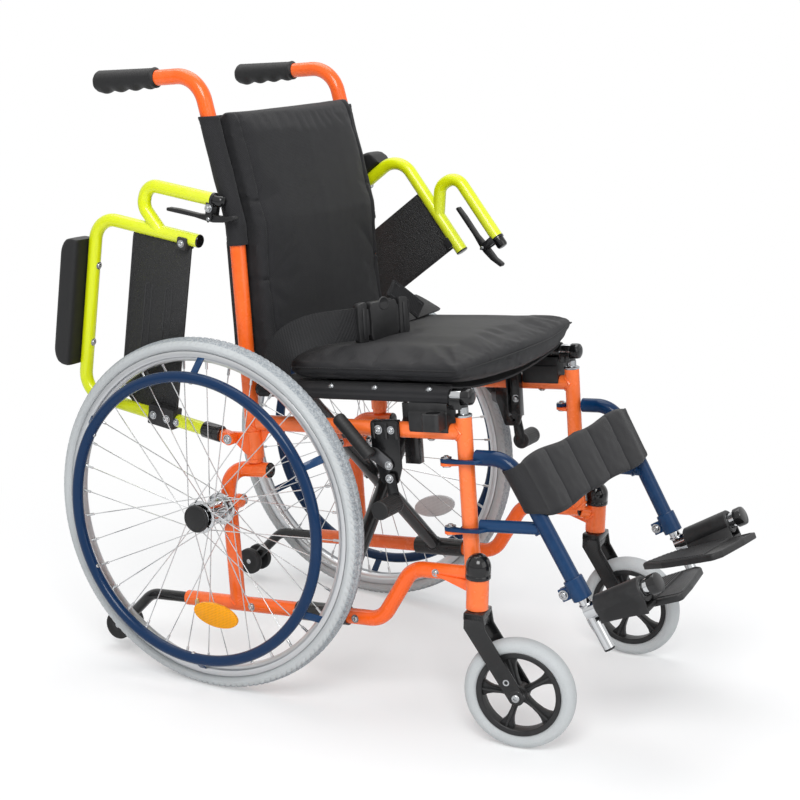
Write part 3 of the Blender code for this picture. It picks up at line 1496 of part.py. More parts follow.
def anti_tip(side):
    sign = sides[side]
    x = side_plane * sign
    hub = tilted(x, tip_end_along, tip_end_up)
    spin = pivot("anti_tip_spin_" + side, hub, across, frames[side])
    add = [tube([tilted(x, low_tube_rear + tip_tube_inside, low_tube_up),
                 tilted(x, tip_bend_along, low_tube_up), hub], tip_tube_radius, bend_radius),
           rod(hub - across * tip_tube_radius, hub + across * tip_tube_radius,
               tip_tube_radius, 12)]
    hole = bore(hub - across * 0.02, hub + across * 0.02, tip_axle_radius, running_gap)
    node("anti_tip_tube_" + side, "black_paint", add, [hole], frames[side])
    inner = tip_tube_radius + tip_wheel_gap
    outer = inner + tip_wheel_width
    wheel = [rod(hub - across * outer, hub + across * outer, tip_axle_radius)]
    for way in (-1, 1):
        wheel.append(turned([(tip_wheel_radius - 0.003, inner), (tip_wheel_radius, inner + 0.003),
                             (tip_wheel_radius, outer - 0.003), (tip_wheel_radius - 0.003, outer)],
                            hub, across * way, 16))
    node("anti_tip_wheel_" + side, "black_rubber", wheel, (), spin)


# Belt

def band(path, height, thickness, lean):
    # A strap standing on its edge along the path, leaned back from upright.
    rings = []
    count = len(path)
    for i, place in enumerate(path):
        before = path[max(0, i - 1)]
        after = path[min(count - 1, i + 1)]
        run = (after - before).normalized()
        side = run.cross(upward).normalized()
        tall = (upward * math.cos(lean) + side * math.sin(lean)).normalized()
        side = run.cross(tall).normalized()
        ring = []
        for i_high, i_side in ((-1, -1), (1, -1), (1, 1), (-1, 1)):
            ring.append(place + tall * height / 2 * i_high + side * thickness / 2 * i_side)
        rings.append(ring)
    return skin(rings)


def belt():
    middle = tilted(*buckle_place)
    turn = Quaternion(upward, buckle_turn)
    wide = turn @ across
    deep = turn @ forward
    half_wide = buckle_size[0] / 2
    add = [block(middle, buckle_size, (wide, deep, upward))]
    for way in (-1, 1):
        add.append(block(middle + wide * way * half_wide, (0.010, buckle_size[1] * 0.8,
                         buckle_size[2] * 0.9), (wide, deep, upward)))
    node("belt_buckle", "black_plastic", add, (), buckle_holder)
    gap = half_wide + 0.005 + touch_gap
    for side, sign in sides.items():
        start = middle + wide * sign * gap
        edge = tilted(belt_anchor[0] * sign, belt_anchor[1], buckle_place[2] - 0.001)
        lead = start + wide * sign * 0.006
        points = [lead, start + wide * sign * 0.02,
                  tilted(belt_bend_left[0], belt_bend_left[1], buckle_place[2]), edge]
        if side == "right":
            bends = [tilted(-out, along, buckle_place[2]) for out, along in belt_bends_right]
            points = [lead, *bends, edge]
        path = [start] + rounded_path(points, 0.015, 4)
        node("belt_strap_" + side, "black_cloth",
             [band(path, belt_height * 0.9, belt_thickness, 0.0)], (), seat_holder)


# Building every sub-part

for side in sides:
    side_frame(side)
    back_cane(side)
    push_grip(side)
    wheel_spin = pivot("rear_wheel_spin_" + side,
                       Vector((wheel_plane * sides[side], 0, axle_height)), across, frames[side])
    rear_tyre(side, wheel_spin)
    rear_wheel(side, wheel_spin)
    handrim(side, wheel_spin)
    castor_parts(side)
    folding_link(side)
    rail_guide(side)
    frame_channel(side)
    armrest(side)
    brake(side)
    footrest(side)
    anti_tip(side)

cross_braces()
seat_sling()
seat_cushion()
back_sling()
back_cushion()
calf_strap()
belt()

bpy.data.collections.remove(workbench)


def centre_on_footprint():
    # Moves the whole chair so that the origin is under the middle of its bounding box.
    bpy.context.view_layer.update()
    reach = [(item.matrix_world @ Vector(corner)).y
             for item in bpy.data.objects if item.type == "MESH" for corner in item.bound_box]
    chair.location.y = -(min(reach) + max(reach)) / 2
    bpy.context.view_layer.update()


centre_on_footprint()
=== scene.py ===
# A child's folding wheelchair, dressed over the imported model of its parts.
# Lengths are in metres, and in millimetres inside mm(). The child looks along -Y and has
# the right hand at -X.

from math import atan, atan2, copysign, cos, hypot, pi, radians, sin, sqrt, tan

import bmesh
import bpy
from mathutils import Matrix, Quaternion, Vector, noise


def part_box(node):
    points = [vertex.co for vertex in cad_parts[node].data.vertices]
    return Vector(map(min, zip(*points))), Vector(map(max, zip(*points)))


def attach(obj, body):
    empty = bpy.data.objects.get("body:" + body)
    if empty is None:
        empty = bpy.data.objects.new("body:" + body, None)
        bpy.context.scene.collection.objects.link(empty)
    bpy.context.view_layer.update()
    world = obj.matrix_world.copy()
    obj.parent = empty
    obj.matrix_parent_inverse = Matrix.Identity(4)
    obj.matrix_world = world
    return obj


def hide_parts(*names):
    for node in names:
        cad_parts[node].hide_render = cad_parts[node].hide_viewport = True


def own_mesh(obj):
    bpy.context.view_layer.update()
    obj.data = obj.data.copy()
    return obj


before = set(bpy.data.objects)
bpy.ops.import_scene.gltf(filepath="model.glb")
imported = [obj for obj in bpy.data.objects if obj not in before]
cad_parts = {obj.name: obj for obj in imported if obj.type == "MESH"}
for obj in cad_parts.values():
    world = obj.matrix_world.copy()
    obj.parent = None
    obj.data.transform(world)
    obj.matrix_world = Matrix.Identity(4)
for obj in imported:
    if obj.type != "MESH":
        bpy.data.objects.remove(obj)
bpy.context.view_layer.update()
print("frame: loaded")

# Where the frame's main lines lie
plan = {
    "slope": 0.10,            # rise of the side tubes for each metre forward
    "axleHeight": 0.254,
    "sidePlane": 0.1755,      # side tubes, from the middle
    "tubeRadius": 0.011,
    "bend": 0.035,
    "postAlong": 0.390,
    "topTubeUp": 0.124,
    "lowTubeUp": -0.148,
    "railUp": 0.172,
    "railRadius": 0.0095,
    "caneAlong": 0.0524,
    "caneStraightUp": 0.403,
    "caneLean": radians(11.4),
    "gap": 0.0003,
    "cloth": 0.0028,
    "hemRadius": 0.0126,      # a rail with its cloth
    "braceSlope": radians(42.35),
}
tyreLow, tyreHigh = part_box("rear_tyre_right")
axleY = (tyreLow.y + tyreHigh.y) / 2
tilt = atan(plan["slope"])
across = Vector((1, 0, 0))
forward = Vector((0, -cos(tilt), sin(tilt)))
upward = Vector((0, sin(tilt), cos(tilt)))
skyward = Vector((0, 0, 1))
sides = {"right": -1, "left": 1}
sidePlane = plan["sidePlane"]
tubeRadius = plan["tubeRadius"]
axleHeight = plan["axleHeight"]
gap = plan["gap"]
postAlong = plan["postAlong"]
topUp = plan["topTubeUp"]
lowUp = plan["lowTubeUp"]
railUp = plan["railUp"]
caneAlong = plan["caneAlong"]


def onAxle(x):
    return Vector((x, axleY, axleHeight))


def tilted(x, along, up):
    return onAxle(x) + forward * along + upward * up


def mm(*points):
    return [tuple(v / 1000 for v in point) for point in points]


def spun(axis, turn, vector):
    return Quaternion(axis, turn) @ vector


def bumpOn(share, middle, width):
    # A smooth hump, 1 at the middle and 0 beyond the width.
    off = abs(share - middle) / width
    return 0.0 if off >= 1 else (1 - off * off) ** 2


def ease(value):
    value = min(1.0, max(0.0, value))
    return value * value * (3 - 2 * value)


def circle(count, shift=0.0):
    # The cosine and sine of even steps once round.
    turns = [2 * pi * (i + shift) / count for i in range(count)]
    return [(cos(turn), sin(turn)) for turn in turns]


def arc(centre, first, second, start, turn, steps):
    # Points of a part circle; the two directions hold its radius.
    angles = [start + turn * i / steps for i in range(steps + 1)]
    return [centre + first * cos(a) + second * sin(a) for a in angles]


# Shapes: each is a list of points and a list of faces

def roundedPath(points, bend, steps=10, closed=False):
    count = len(points)
    path = []
    for i, corner in enumerate(points):
        toLast = (points[i - 1] - corner).normalized()
        toNext = (points[(i + 1) % count] - corner).normalized()
        angle = pi if not closed and i in (0, count - 1) else toLast.angle(toNext)
        if angle > pi - 0.01:
            path.append(corner)
            continue
        start = corner + toLast * (bend / tan(angle / 2))
        centre = corner + (toLast + toNext).normalized() * bend / sin(angle / 2)
        axis = (centre - start).cross(toLast).normalized()
        path += [centre + spun(axis, (pi - angle) * step / steps, start - centre) for step in range(
            steps + 1)]
    return path


def loft(rings, closed=False, wrap=True):
    size = len(rings[0])
    points = [point for ring in rings for point in ring]
    faces = []
    for i in range(len(rings) if closed else len(rings) - 1):
        a = i * size
        b = ((i + 1) % len(rings)) * size
        for j in range(size if wrap else size - 1):
            k = (j + 1) % size
            faces.append((a + j, a + k, b + k, b + j))
    if not closed:
        faces.append(tuple(range(size)))
        faces.append(tuple(range(len(points) - size, len(points))))
    return points, faces


def sweep(points, radius, bend=0.035, steps=20, arcSteps=9, closed=False):
    path = roundedPath([Vector(p) for p in points], bend, arcSteps, closed)
    count = len(path)
    rings = []
    side = None
    for i, place in enumerate(path):
        before = path[i - 1] if closed or i > 0 else place
        after = path[(i + 1) % count] if closed or i < count - 1 else place
        run = (after - before).normalized()
        if side is None:
            side = run.orthogonal()
        side = (side - run * side.dot(run)).normalized()
        other = run.cross(side)
        rings.append([place + side * radius * c + other * radius * s for c, s in circle(steps)])
    return loft(rings, closed)


def lathe(profile, centre, axis, steps=32, closed=False, start=None, shape=None):
    # The profile holds (radius, distance along the axis); shape may move a point of it.
    axis = Vector(axis).normalized()
    side = start if start else axis.orthogonal().normalized()
    other = axis.cross(side)
    rings = []
    for i in range(steps):
        turn = 2 * pi * i / steps
        spoke = side * cos(turn) + other * sin(turn)
        moved = [shape(turn, *point) for point in profile] if shape else profile
        rings.append([centre + axis * distance + spoke * radius for radius, distance in moved])
    points, faces = loft(rings, True, closed)
    if not closed:
        size = len(profile)
        faces += [tuple(range(first, steps * size, size)) for first in (0, size - 1)]
    return points, faces


def rod(start, end, radius, steps=20, edge=0.0006):
    # A round bar with eased ends.
    start = Vector(start)
    run = Vector(end) - start
    length = run.length
    edge = min(edge, radius * 0.4, length * 0.3)
    return lathe([(radius - edge, 0), (radius, edge), (radius, length - edge), (radius - edge,
        length)], start, run, steps)


def bmeshOf(solid, merge):
    shape = bmesh.new()
    corners = [shape.verts.new(p) for p in solid[0]]
    for face in solid[1]:
        shape.faces.new([corners[i] for i in face])
    bmesh.ops.remove_doubles(shape, verts=shape.verts, dist=merge)
    bmesh.ops.recalc_face_normals(shape, faces=shape.faces)
    return shape


def easedEdges(solid, width, sharp=35):
    # Every sharp edge of a solid gets a small round.
    shape = bmeshOf(solid, 1e-7)
    edges = [e for e in shape.edges if e.is_manifold and e.calc_face_angle(0) > radians(sharp)]
    bmesh.ops.bevel(shape, geom=edges, offset=width, segments=2, profile=0.5, affect="EDGES",
        clamp_overlap=True)
    shape.verts.index_update()
    points = [v.co.copy() for v in shape.verts]
    faces = [tuple(v.index for v in face.verts) for face in shape.faces]
    shape.free()
    return points, faces


def plate(outline, thickness, direction, edge=0.0007):
    half = Vector(direction).normalized() * thickness / 2
    return easedEdges(loft([[p - half for p in outline], [p + half for p in outline]]), edge)


def block(centre, size, axes=(across, forward, upward), edge=0.0007):
    x, y, z = axes
    outline = [centre + x * size[0] / 2 * i + y * size[1] / 2 * j for i, j in ((-1, -1), (1, -1), (
        1, 1), (-1, 1))]
    return plate(outline, size[2], z, edge)


def boltHead(place, out, size=0.0048, height=0.0026, washer=True):
    # A round head with a six-sided recess, on a washer.
    out = Vector(out).normalized()
    base = 0.0009 if washer else 0.0
    top = base + height

    def sixSided(turn, radius, distance):
        if radius > size * 0.5 or distance < base + 0.0001:
            return radius, distance
        off = (turn % (pi / 3)) - pi / 6
        return radius * cos(pi / 6) / cos(off), distance

    disc = lathe([(size * 0.5, 0), (size * 1.36, 0), (size * 1.4, 0.0003), (size * 1.36, base), (
        size * 0.5, base)], place, out, 24) if washer else None
    head = lathe([(size * 0.5, base), (size, base), (size, base + height * 0.45), (size * 0.86, base
        + height * 0.82), (size * 0.62, top), (size * 0.48, top), (size * 0.44, base + height
        * 0.4)], place, out, 24, shape=sixSided)
    return [disc, head] if washer else [head]


def nutOn(place, out, size=0.0052, height=0.0042):
    # A six-sided nut with eased corners and the bolt's end through it.
    out = Vector(out).normalized()
    nut = easedEdges(lathe([(size, 0), (size, height)], place, out, 6), 0.0006)
    tip = lathe([(size * 0.52, height - 0.0005), (size * 0.52, height + 0.0012), (size * 0.36,
        height + 0.0018)], place, out, 16)
    disc = lathe([(size * 0.4, 0), (size * 1.18, 0), (size * 1.2, 0.0008), (size * 0.4, 0.0009)],
        place, out, 24)
    return [nut, tip, disc]


def weldRing(meet, run, other, inner, outer):
    # The bead round a tube of the inner radius that ends on one of the outer radius.
    run = run.normalized()
    side = (other - run * other.dot(run)).normalized()
    square = run.cross(side)
    lean = run.dot(other.normalized())
    path = []
    for c, s in circle(28):
        reach = sqrt(max(0.0, outer ** 2 - (inner * s) ** 2))
        reach = (reach - inner * c * lean) / sqrt(max(0.2, 1 - lean * lean))
        path.append(meet + side * (inner * c) + square * (inner * s) + run * reach)
    rings = []
    for i, place in enumerate(path):
        ahead = (path[(i + 1) % len(path)] - path[i - 1]).normalized()
        out = (place - meet - run * (place - meet).dot(run)).normalized()
        up = ahead.cross(out)
        size = 0.0019 + 0.0003 * sin(i * 2.4)
        rings.append([place + out * size * c + up * size * s for c, s in circle(8)])
    return loft(rings, True)


def meshOf(name, solids, sharp=38):
    shape = bmesh.new()
    for solid in solids:
        part = bmeshOf(solid, 1e-6)
        scrap = bpy.data.meshes.new("scrap")
        part.to_mesh(scrap)
        part.free()
        shape.from_mesh(scrap)
        bpy.data.meshes.remove(scrap)
    mesh = bpy.data.meshes.new(name)
    shape.to_mesh(mesh)
    shape.free()
    mesh.shade_smooth()
    mesh.set_sharp_from_angle(angle=radians(sharp))
    return mesh


def placed(name, data):
    item = bpy.data.objects.new(name, data)
    bpy.context.scene.collection.objects.link(item)
    return item


def piece(name, solids, finish, body, stands=(), sharp=38):
    # One visible piece: its shape, its finish, the body it rides on and the nodes it stands for.
    name = name.replace(" ", "_")
    item = placed(name, meshOf(name, solids, sharp))
    item.data.materials.append(finishes[finish][0])
    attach(item, body)
    if stands:
        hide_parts(*stands)
    return item


# Finishes: shared effects first, then one material for each surface

def adder(tree):
    def add(kind, inputs=None, out=0, **settings):
        # One node. An input is a socket or a value, by name or number; out picks an output.
        item = tree.nodes.new("ShaderNode" + kind)
        for key, value in settings.items():
            setattr(item, key, value)
        for key, value in (inputs or {}).items():
            if isinstance(value, bpy.types.NodeSocket):
                tree.links.new(value, item.inputs[key])
            else:
                item.inputs[key].default_value = value
        return item if out is None else item.outputs[out]

    def maths(kind, *values):
        return add("Math", dict(enumerate(values)), operation=kind)

    return add, maths


def emptied(holder):
    # The node tree of a material or world, cleared, with the functions that fill it.
    holder.use_nodes = True
    holder.node_tree.nodes.clear()
    return holder.node_tree, *adder(holder.node_tree)


def blended(add, share, first, second):
    return add("Mix", {0: share, 6: first, 7: second}, 2, data_type="RGBA")


def scaled(add, colour, gain):
    return add("VectorMath", {0: colour, "Scale": gain}, operation="SCALE")


def newGroup(name, inputs, outputs):
    group = bpy.data.node_groups.new(name, "ShaderNodeTree")
    for label, value in inputs.items():
        kind = "NodeSocketColor" if isinstance(value, tuple) else "NodeSocketFloat"
        group.interface.new_socket(label, in_out="INPUT", socket_type=kind).default_value = value
    for label, kind in outputs.items():
        group.interface.new_socket(label, in_out="OUTPUT", socket_type="NodeSocket" + kind)
    given = group.nodes.new("NodeGroupInput").outputs
    return group, *adder(group), given, group.nodes.new("NodeGroupOutput").inputs


def unevenSkinGroup():
    # A finely uneven surface.
    group, add, maths, given, out = newGroup("unevenSkin", {"Scale": 200.0, "Depth": 0.0001}, {
        "Normal": "Vector"})
    place = add("TexCoord", out="Object")
    height = add("TexNoise", {"Vector": place, "Scale": given["Scale"], "Detail": 3.0})
    bump = add("Bump", {"Height": height, "Distance": given["Depth"]})
    group.links.new(bump, out["Normal"])
    return group


def wovenClothGroup():
    # Threads over and under each other, laid on whichever way the surface faces.
    group, add, maths, given, out = newGroup("wovenCloth", {"Threads": 900.0, "Depth": 0.0002,
        "Diagonal": 0.0}, {"Normal": "Vector", "Shade": "Float"})
    coordinates = add("TexCoord", out=None).outputs
    x, y, z = add("SeparateXYZ", {"Vector": coordinates["Object"]}, None).outputs
    facing = add("VectorMath", {0: coordinates["Normal"]}, operation="ABSOLUTE")
    faceX, faceY, faceZ = add("SeparateXYZ", {"Vector": facing}, None).outputs
    sideways = maths("MULTIPLY", maths("GREATER_THAN", faceX, faceY), maths("GREATER_THAN", faceX,
        faceZ))
    level = maths("MULTIPLY", maths("GREATER_THAN", faceZ, faceX), maths("GREATER_THAN", faceZ,
        faceY))
    u = add("Mix", {0: sideways, 2: x, 3: y})
    v = add("Mix", {0: level, 2: z, 3: y})
    u = maths("MULTIPLY_ADD", v, given["Diagonal"], u)
    turns = maths("MULTIPLY", given["Threads"], pi)
    warp = maths("SINE", maths("MULTIPLY", u, turns))
    weft = maths("SINE", maths("MULTIPLY", v, turns))
    height = maths("MULTIPLY_ADD", maths("MULTIPLY", warp, weft), 0.5, 0.5)
    bump = add("Bump", {"Height": height, "Distance": given["Depth"]})
    group.links.new(bump, out["Normal"])
    group.links.new(height, out["Shade"])
    return group


def paintedEdgeHighlightGroup():
    # 1 on the outer edges of a shape, broken up along them: the mask of a painted highlight on the
    # edges.
    group, add, maths, given, out = newGroup("paintedEdgeHighlight", {"Start": 0.53}, {"Mask": "Float"})
    place = add("TexCoord", out="Object")
    breaks = add("TexNoise", {"Vector": place, "Scale": 90.0, "Detail": 4.0})
    edge = maths("MULTIPLY_ADD", breaks, 0.06, add("NewGeometry", out="Pointiness"))
    mask = add("MapRange", {"Value": edge, "From Min": given["Start"], "From Max": maths("ADD",
        given["Start"], 0.06)})
    group.links.new(mask, out["Mask"])
    return group


def slowDriftGroup():
    # Broad, faint changes of brightness and gloss, and a little dust on what faces up.
    group, add, maths, given, out = newGroup("slowDrift", {"Color": (0.5, 0.5, 0.5, 1),
        "Amount": 0.06, "Roughness": 0.4, "Dust": 0.02}, {"Color": "Color", "Roughness": "Float"})
    place = add("TexCoord", out="Object")
    broad = add("TexNoise", {"Vector": place, "Scale": 9.0, "Detail": 5.0})
    small = add("TexNoise", {"Vector": place, "Scale": 75.0, "Detail": 3.0})
    share = maths("MULTIPLY", maths("ADD", broad, -0.5), given["Amount"])
    toned = scaled(add, given["Color"], maths("MULTIPLY_ADD", share, 4.0, 1.0))
    normal = add("NewGeometry", out="Normal")
    facing = add("SeparateXYZ", {"Vector": normal}, "Z")
    settled = maths("MULTIPLY", add("MapRange", {"Value": facing, "From Min": 0.3,
        "From Max": 1.0}), small)
    dust = maths("MULTIPLY", settled, given["Dust"])
    gloss = maths("MULTIPLY_ADD", small, 0.14, -0.07)
    group.links.new(blended(add, dust, toned, (0.45, 0.43, 0.40, 1)), out["Color"])
    group.links.new(maths("ADD", given["Roughness"], gloss), out["Roughness"])
    return group


effects = {"unevenSkin": unevenSkinGroup(), "wovenCloth": wovenClothGroup(),
    "paintedEdgeHighlight": paintedEdgeHighlightGroup(), "slowDrift": slowDriftGroup()}
finishes = {}


def finish(name, slotName, colour, rough, skin=None, cloth=None, drift=0.05, dust=0.02, edgeHighlight=None,
        speckle=None, lattice=None, tread=None, gloss=None, coat=None, sheen=None, metal=0.0):
    material = bpy.data.materials.new(name)
    tree, add, maths = emptied(material)
    look = add("BsdfPrincipled", {"Metallic": metal}, None)
    if gloss:
        look.inputs["Specular IOR Level"].default_value = gloss
    if coat:
        look.inputs["Coat Weight"].default_value, look.inputs["Coat Roughness"].default_value = coat
    if sheen:
        look.inputs["Sheen Weight"].default_value = sheen
        look.inputs["Sheen Roughness"].default_value = 0.4
    toned = add("Group", {"Color": (*colour, 1), "Amount": drift, "Roughness": rough, "Dust": dust},
        None, node_tree=effects["slowDrift"]).outputs
    shade = toned["Color"]
    if speckle:
        scale, strength, tint = speckle
        grains = add("TexVoronoi", {"Vector": add("TexCoord", out="Object"), "Scale": scale})
        chosen = add("MapRange", {"Value": grains, "From Min": 0.32, "From Max": 0.18,
            "To Max": strength})
        shade = blended(add, chosen, shade, (*tint, 1))
    if cloth:
        threads, depth, diagonal, contrast = cloth
        weave = add("Group", {"Threads": threads, "Depth": depth, "Diagonal": diagonal}, None,
            node_tree=effects["wovenCloth"]).outputs
        tree.links.new(weave["Normal"], look.inputs["Normal"])
        gain = add("MapRange", {"Value": weave["Shade"], "To Min": 1 - contrast, "To Max": 1
            + contrast})
        shade = scaled(add, shade, gain)
    if skin:
        uneven = add("Group", {"Scale": skin[0], "Depth": skin[1]}, node_tree=effects["unevenSkin"])
        tree.links.new(uneven, look.inputs["Normal"])
    if lattice:
        pitch, depth = lattice
        cells = add("TexVoronoi", {"Vector": add("TexCoord", out="Object"), "Scale": pitch,
            "Randomness": 0.0})
        bump = add("Bump", {"Height": cells, "Distance": depth})
        tree.links.new(bump, look.inputs["Normal"])
        gain = add("MapRange", {"Value": cells, "From Max": 0.6, "To Min": 0.65, "To Max": 1.15})
        shade = scaled(add, shade, gain)
    if tread:
        # The rear tyres' crown is darker and grainy: it starts at this distance from the axle
        reach, strength, tint = tread
        place = add("TexCoord", out="Object")
        off = add("VectorMath", {0: place, 1: (0, axleY, axleHeight)}, operation="SUBTRACT")
        flat = add("VectorMath", {0: off, 1: (0, 1, 1)}, operation="MULTIPLY")
        far = add("VectorMath", {0: flat}, "Value", operation="LENGTH")
        crown = add("MapRange", {"Value": far, "From Min": reach - 0.0012, "From Max": reach,
            "To Max": strength})
        grain = add("TexNoise", {"Vector": place, "Scale": 480.0, "Detail": 1.0})
        specks = add("MapRange", {"Value": grain, "From Min": 0.40, "From Max": 0.60,
            "To Min": 0.35, "To Max": 1.0})
        part = maths("MULTIPLY", maths("MULTIPLY", crown, specks), maths("LESS_THAN", far, 0.262))
        shade = blended(add, part, shade, (*tint, 1))
    # Painted highlight: the outer edges are blended toward a lighter tint.
    if edgeHighlight:
        start, strength, tint = edgeHighlight
        edge = add("Group", {"Start": start}, node_tree=effects["paintedEdgeHighlight"])
        shade = blended(add, maths("MULTIPLY", edge, strength), shade, (*tint, 1))
    tree.links.new(shade, look.inputs["Base Color"])
    tree.links.new(toned["Roughness"], look.inputs["Roughness"])
    add("OutputMaterial", {"Surface": look.outputs[0]}, None)
    finishes[name] = (material, slotName)


def plainMetal(name, colour, rough, drift, skin=None):
    finish(name, "bright_metal", colour, rough, skin, drift=drift, dust=0.0, metal=1.0)


# The lighter edge tint given to each finish below is a painted highlight on its edges.
finish("orangePaint", "orange_paint", (0.94, 0.122, 0.005), 0.26, skin=(420, 0.00012), drift=0.03,
    edgeHighlight=(0.56, 0.35, (1.0, 0.30, 0.10)), gloss=0.35, coat=(0.3, 0.08))
finish("limePaint", "lime_paint", (0.70, 0.78, 0.004), 0.24, skin=(420, 0.00005), drift=0.02, edgeHighlight=(
    0.56, 0.3, (0.85, 0.92, 0.15)), gloss=0.35, coat=(0.25, 0.08))
finish("navyPaint", "navy_paint", (0.0010, 0.023, 0.078), 0.22, skin=(420, 0.00006), edgeHighlight=(0.56,
    0.3, (0.03, 0.10, 0.24)), gloss=0.14, coat=(0.18, 0.05))
finish("blackPaint", "black_paint", (0.004, 0.004, 0.0045), 0.24, skin=(420, 0.00010), edgeHighlight=(0.56,
    0.3, (0.05, 0.05, 0.05)), gloss=0.3, coat=(0.25, 0.08))
finish("blackPlastic", "black_plastic", (0.009, 0.009, 0.0095), 0.42, skin=(1500, 0.00012), edgeHighlight=(
    0.56, 0.4, (0.06, 0.06, 0.062)), dust=0.04, gloss=0.32)
# A lighter copy of the black plastic for the footplate's ribs: a painted highlight on them.
finish("litRibPlastic", "black_plastic", (0.034, 0.034, 0.035), 0.48, skin=(1500, 0.00008), dust=0.04,
    gloss=0.35)
finish("glossPlastic", "black_plastic", (0.005, 0.005, 0.0055), 0.16, skin=(700, 0.00004), edgeHighlight=(
    0.58, 0.3, (0.05, 0.05, 0.05)), gloss=0.35, coat=(0.2, 0.03))
finish("guardPlastic", "black_plastic", (0.010, 0.010, 0.0105), 0.40, skin=(620, 0.0016), speckle=(
    620, 0.55, (0.060, 0.060, 0.063)), dust=0.05, gloss=0.4)
finish("blackRubber", "black_rubber", (0.011, 0.011, 0.0115), 0.55, skin=(900, 0.00015), edgeHighlight=(0.56,
    0.35, (0.05, 0.05, 0.05)), dust=0.05, gloss=0.35)
finish("blackCloth", "black_cloth", (0.011, 0.011, 0.0125), 0.60, cloth=(820, 0.00035, 0.0, 0.3),
    drift=0.10, dust=0.03, gloss=0.30, sheen=0.05)
finish("backCloth", "black_cloth", (0.0145, 0.0145, 0.0160), 0.74, cloth=(700, 0.00045, 0.0, 0.3),
    drift=0.08, dust=0.04, gloss=0.28, sheen=0.06)
finish("webbing", "black_cloth", (0.011, 0.011, 0.012), 0.62, cloth=(520, 0.0006, 0.6, 0.4),
    drift=0.06, dust=0.03, gloss=0.28, sheen=0.05)
finish("thread", "black_cloth", (0.045, 0.045, 0.047), 0.50, cloth=(1500, 0.0002, 1.0, 0.4),
    gloss=0.4)
finish("greyTyre", "grey_tyre", (0.50, 0.52, 0.525), 0.62, skin=(600, 0.0003), drift=0.07, speckle=(
    620, 0.30, (0.30, 0.32, 0.33)), tread=(0.2508, 0.8, (0.20, 0.23, 0.26)), gloss=0.35)
plainMetal("rimMetal", (0.56, 0.57, 0.58), 0.34, 0.04, (1400, 0.00004))
plainMetal("spokeSteel", (0.60, 0.605, 0.61), 0.28, 0.05)
plainMetal("brightChrome", (0.52, 0.53, 0.54), 0.07, 0.02)
plainMetal("zincPlate", (0.42, 0.43, 0.44), 0.26, 0.08, (900, 0.00006))
plainMetal("darkSteel", (0.12, 0.12, 0.125), 0.34, 0.06)
plainMetal("brassButton", (0.62, 0.44, 0.17), 0.28, 0.06)
finish("amberLens", "bright_metal", (1.0, 0.39, 0.002), 0.20, lattice=(420, 0.0012), drift=0.02,
    dust=0.0, gloss=0.2, coat=(0.12, 0.03))
finish("clearLens", "bright_metal", (0.78, 0.79, 0.79), 0.16, lattice=(420, 0.0012), drift=0.02,
    dust=0.0, gloss=0.4, coat=(0.4, 0.03))
print("finishes: made", len(finishes))

bodies = {"right": "right_frame", "left": "left_frame"}
fixings = {}


def fix(body, solids, finishName="zincPlate"):
    # Small hardware is gathered and made at the end, one piece for each body and finish.
    fixings.setdefault((body, finishName), []).extend(solids)


def screw(body, place, out, size, height):
    fix(body, boltHead(place, out, size, height))


# Side frames

sideTube = {"lowRear": -0.090, "stepStart": 0.243, "stepEnd": 0.297, "stepUp": -0.070,
    "stepFront": 0.392, "bendUp": 0.055, "bendFront": 0.075, "postTop": 0.145, "gusset": 0.034,
    "stemForward": 0.4136, "stemPlane": 0.1988, "housingLow": 0.18537, "housingHigh": 0.22797,
    "housingRadius": 0.015, "pinAlong": 0.366, "pinPlane": 0.186, "tabUps": (0.0825, -0.0105),
    "lugRadius": 0.0085, "collarRadius": 0.01275, "receiverOuter": 0.189, "saddleAlong": 0.3835,}


def stemAt(sign, height):
    return Vector((sideTube["stemPlane"] * sign, axleY - sideTube["stemForward"], height))


def linkStart(sign):
    return tilted((sidePlane - 0.0205) * sign, 0.1783, 0.095)


def roundedPad(centre, run, radius, reach, thickness, direction):
    # A flat ear with a round end at the centre and a square end where it meets a tube.
    square = run.cross(direction).normalized()
    outline = arc(centre, run * radius, square * radius, pi * 0.5, pi, 12)
    outline += [centre + run * reach - square * radius, centre + run * reach + square * radius]
    return plate(outline, thickness, direction, 0.0005)


def plug(end, out, radius):
    # A pressed-in plastic plug with a domed face and a thin lip over the tube's end.
    return lathe([(radius * 0.80, -0.004), (radius * 0.80, 0.0), (radius * 0.985, 0.0002), (radius,
        0.0010), (radius * 0.93, 0.0021), (radius * 0.6, 0.0028), (radius * 0.2, 0.0030)], end, out,
        28)


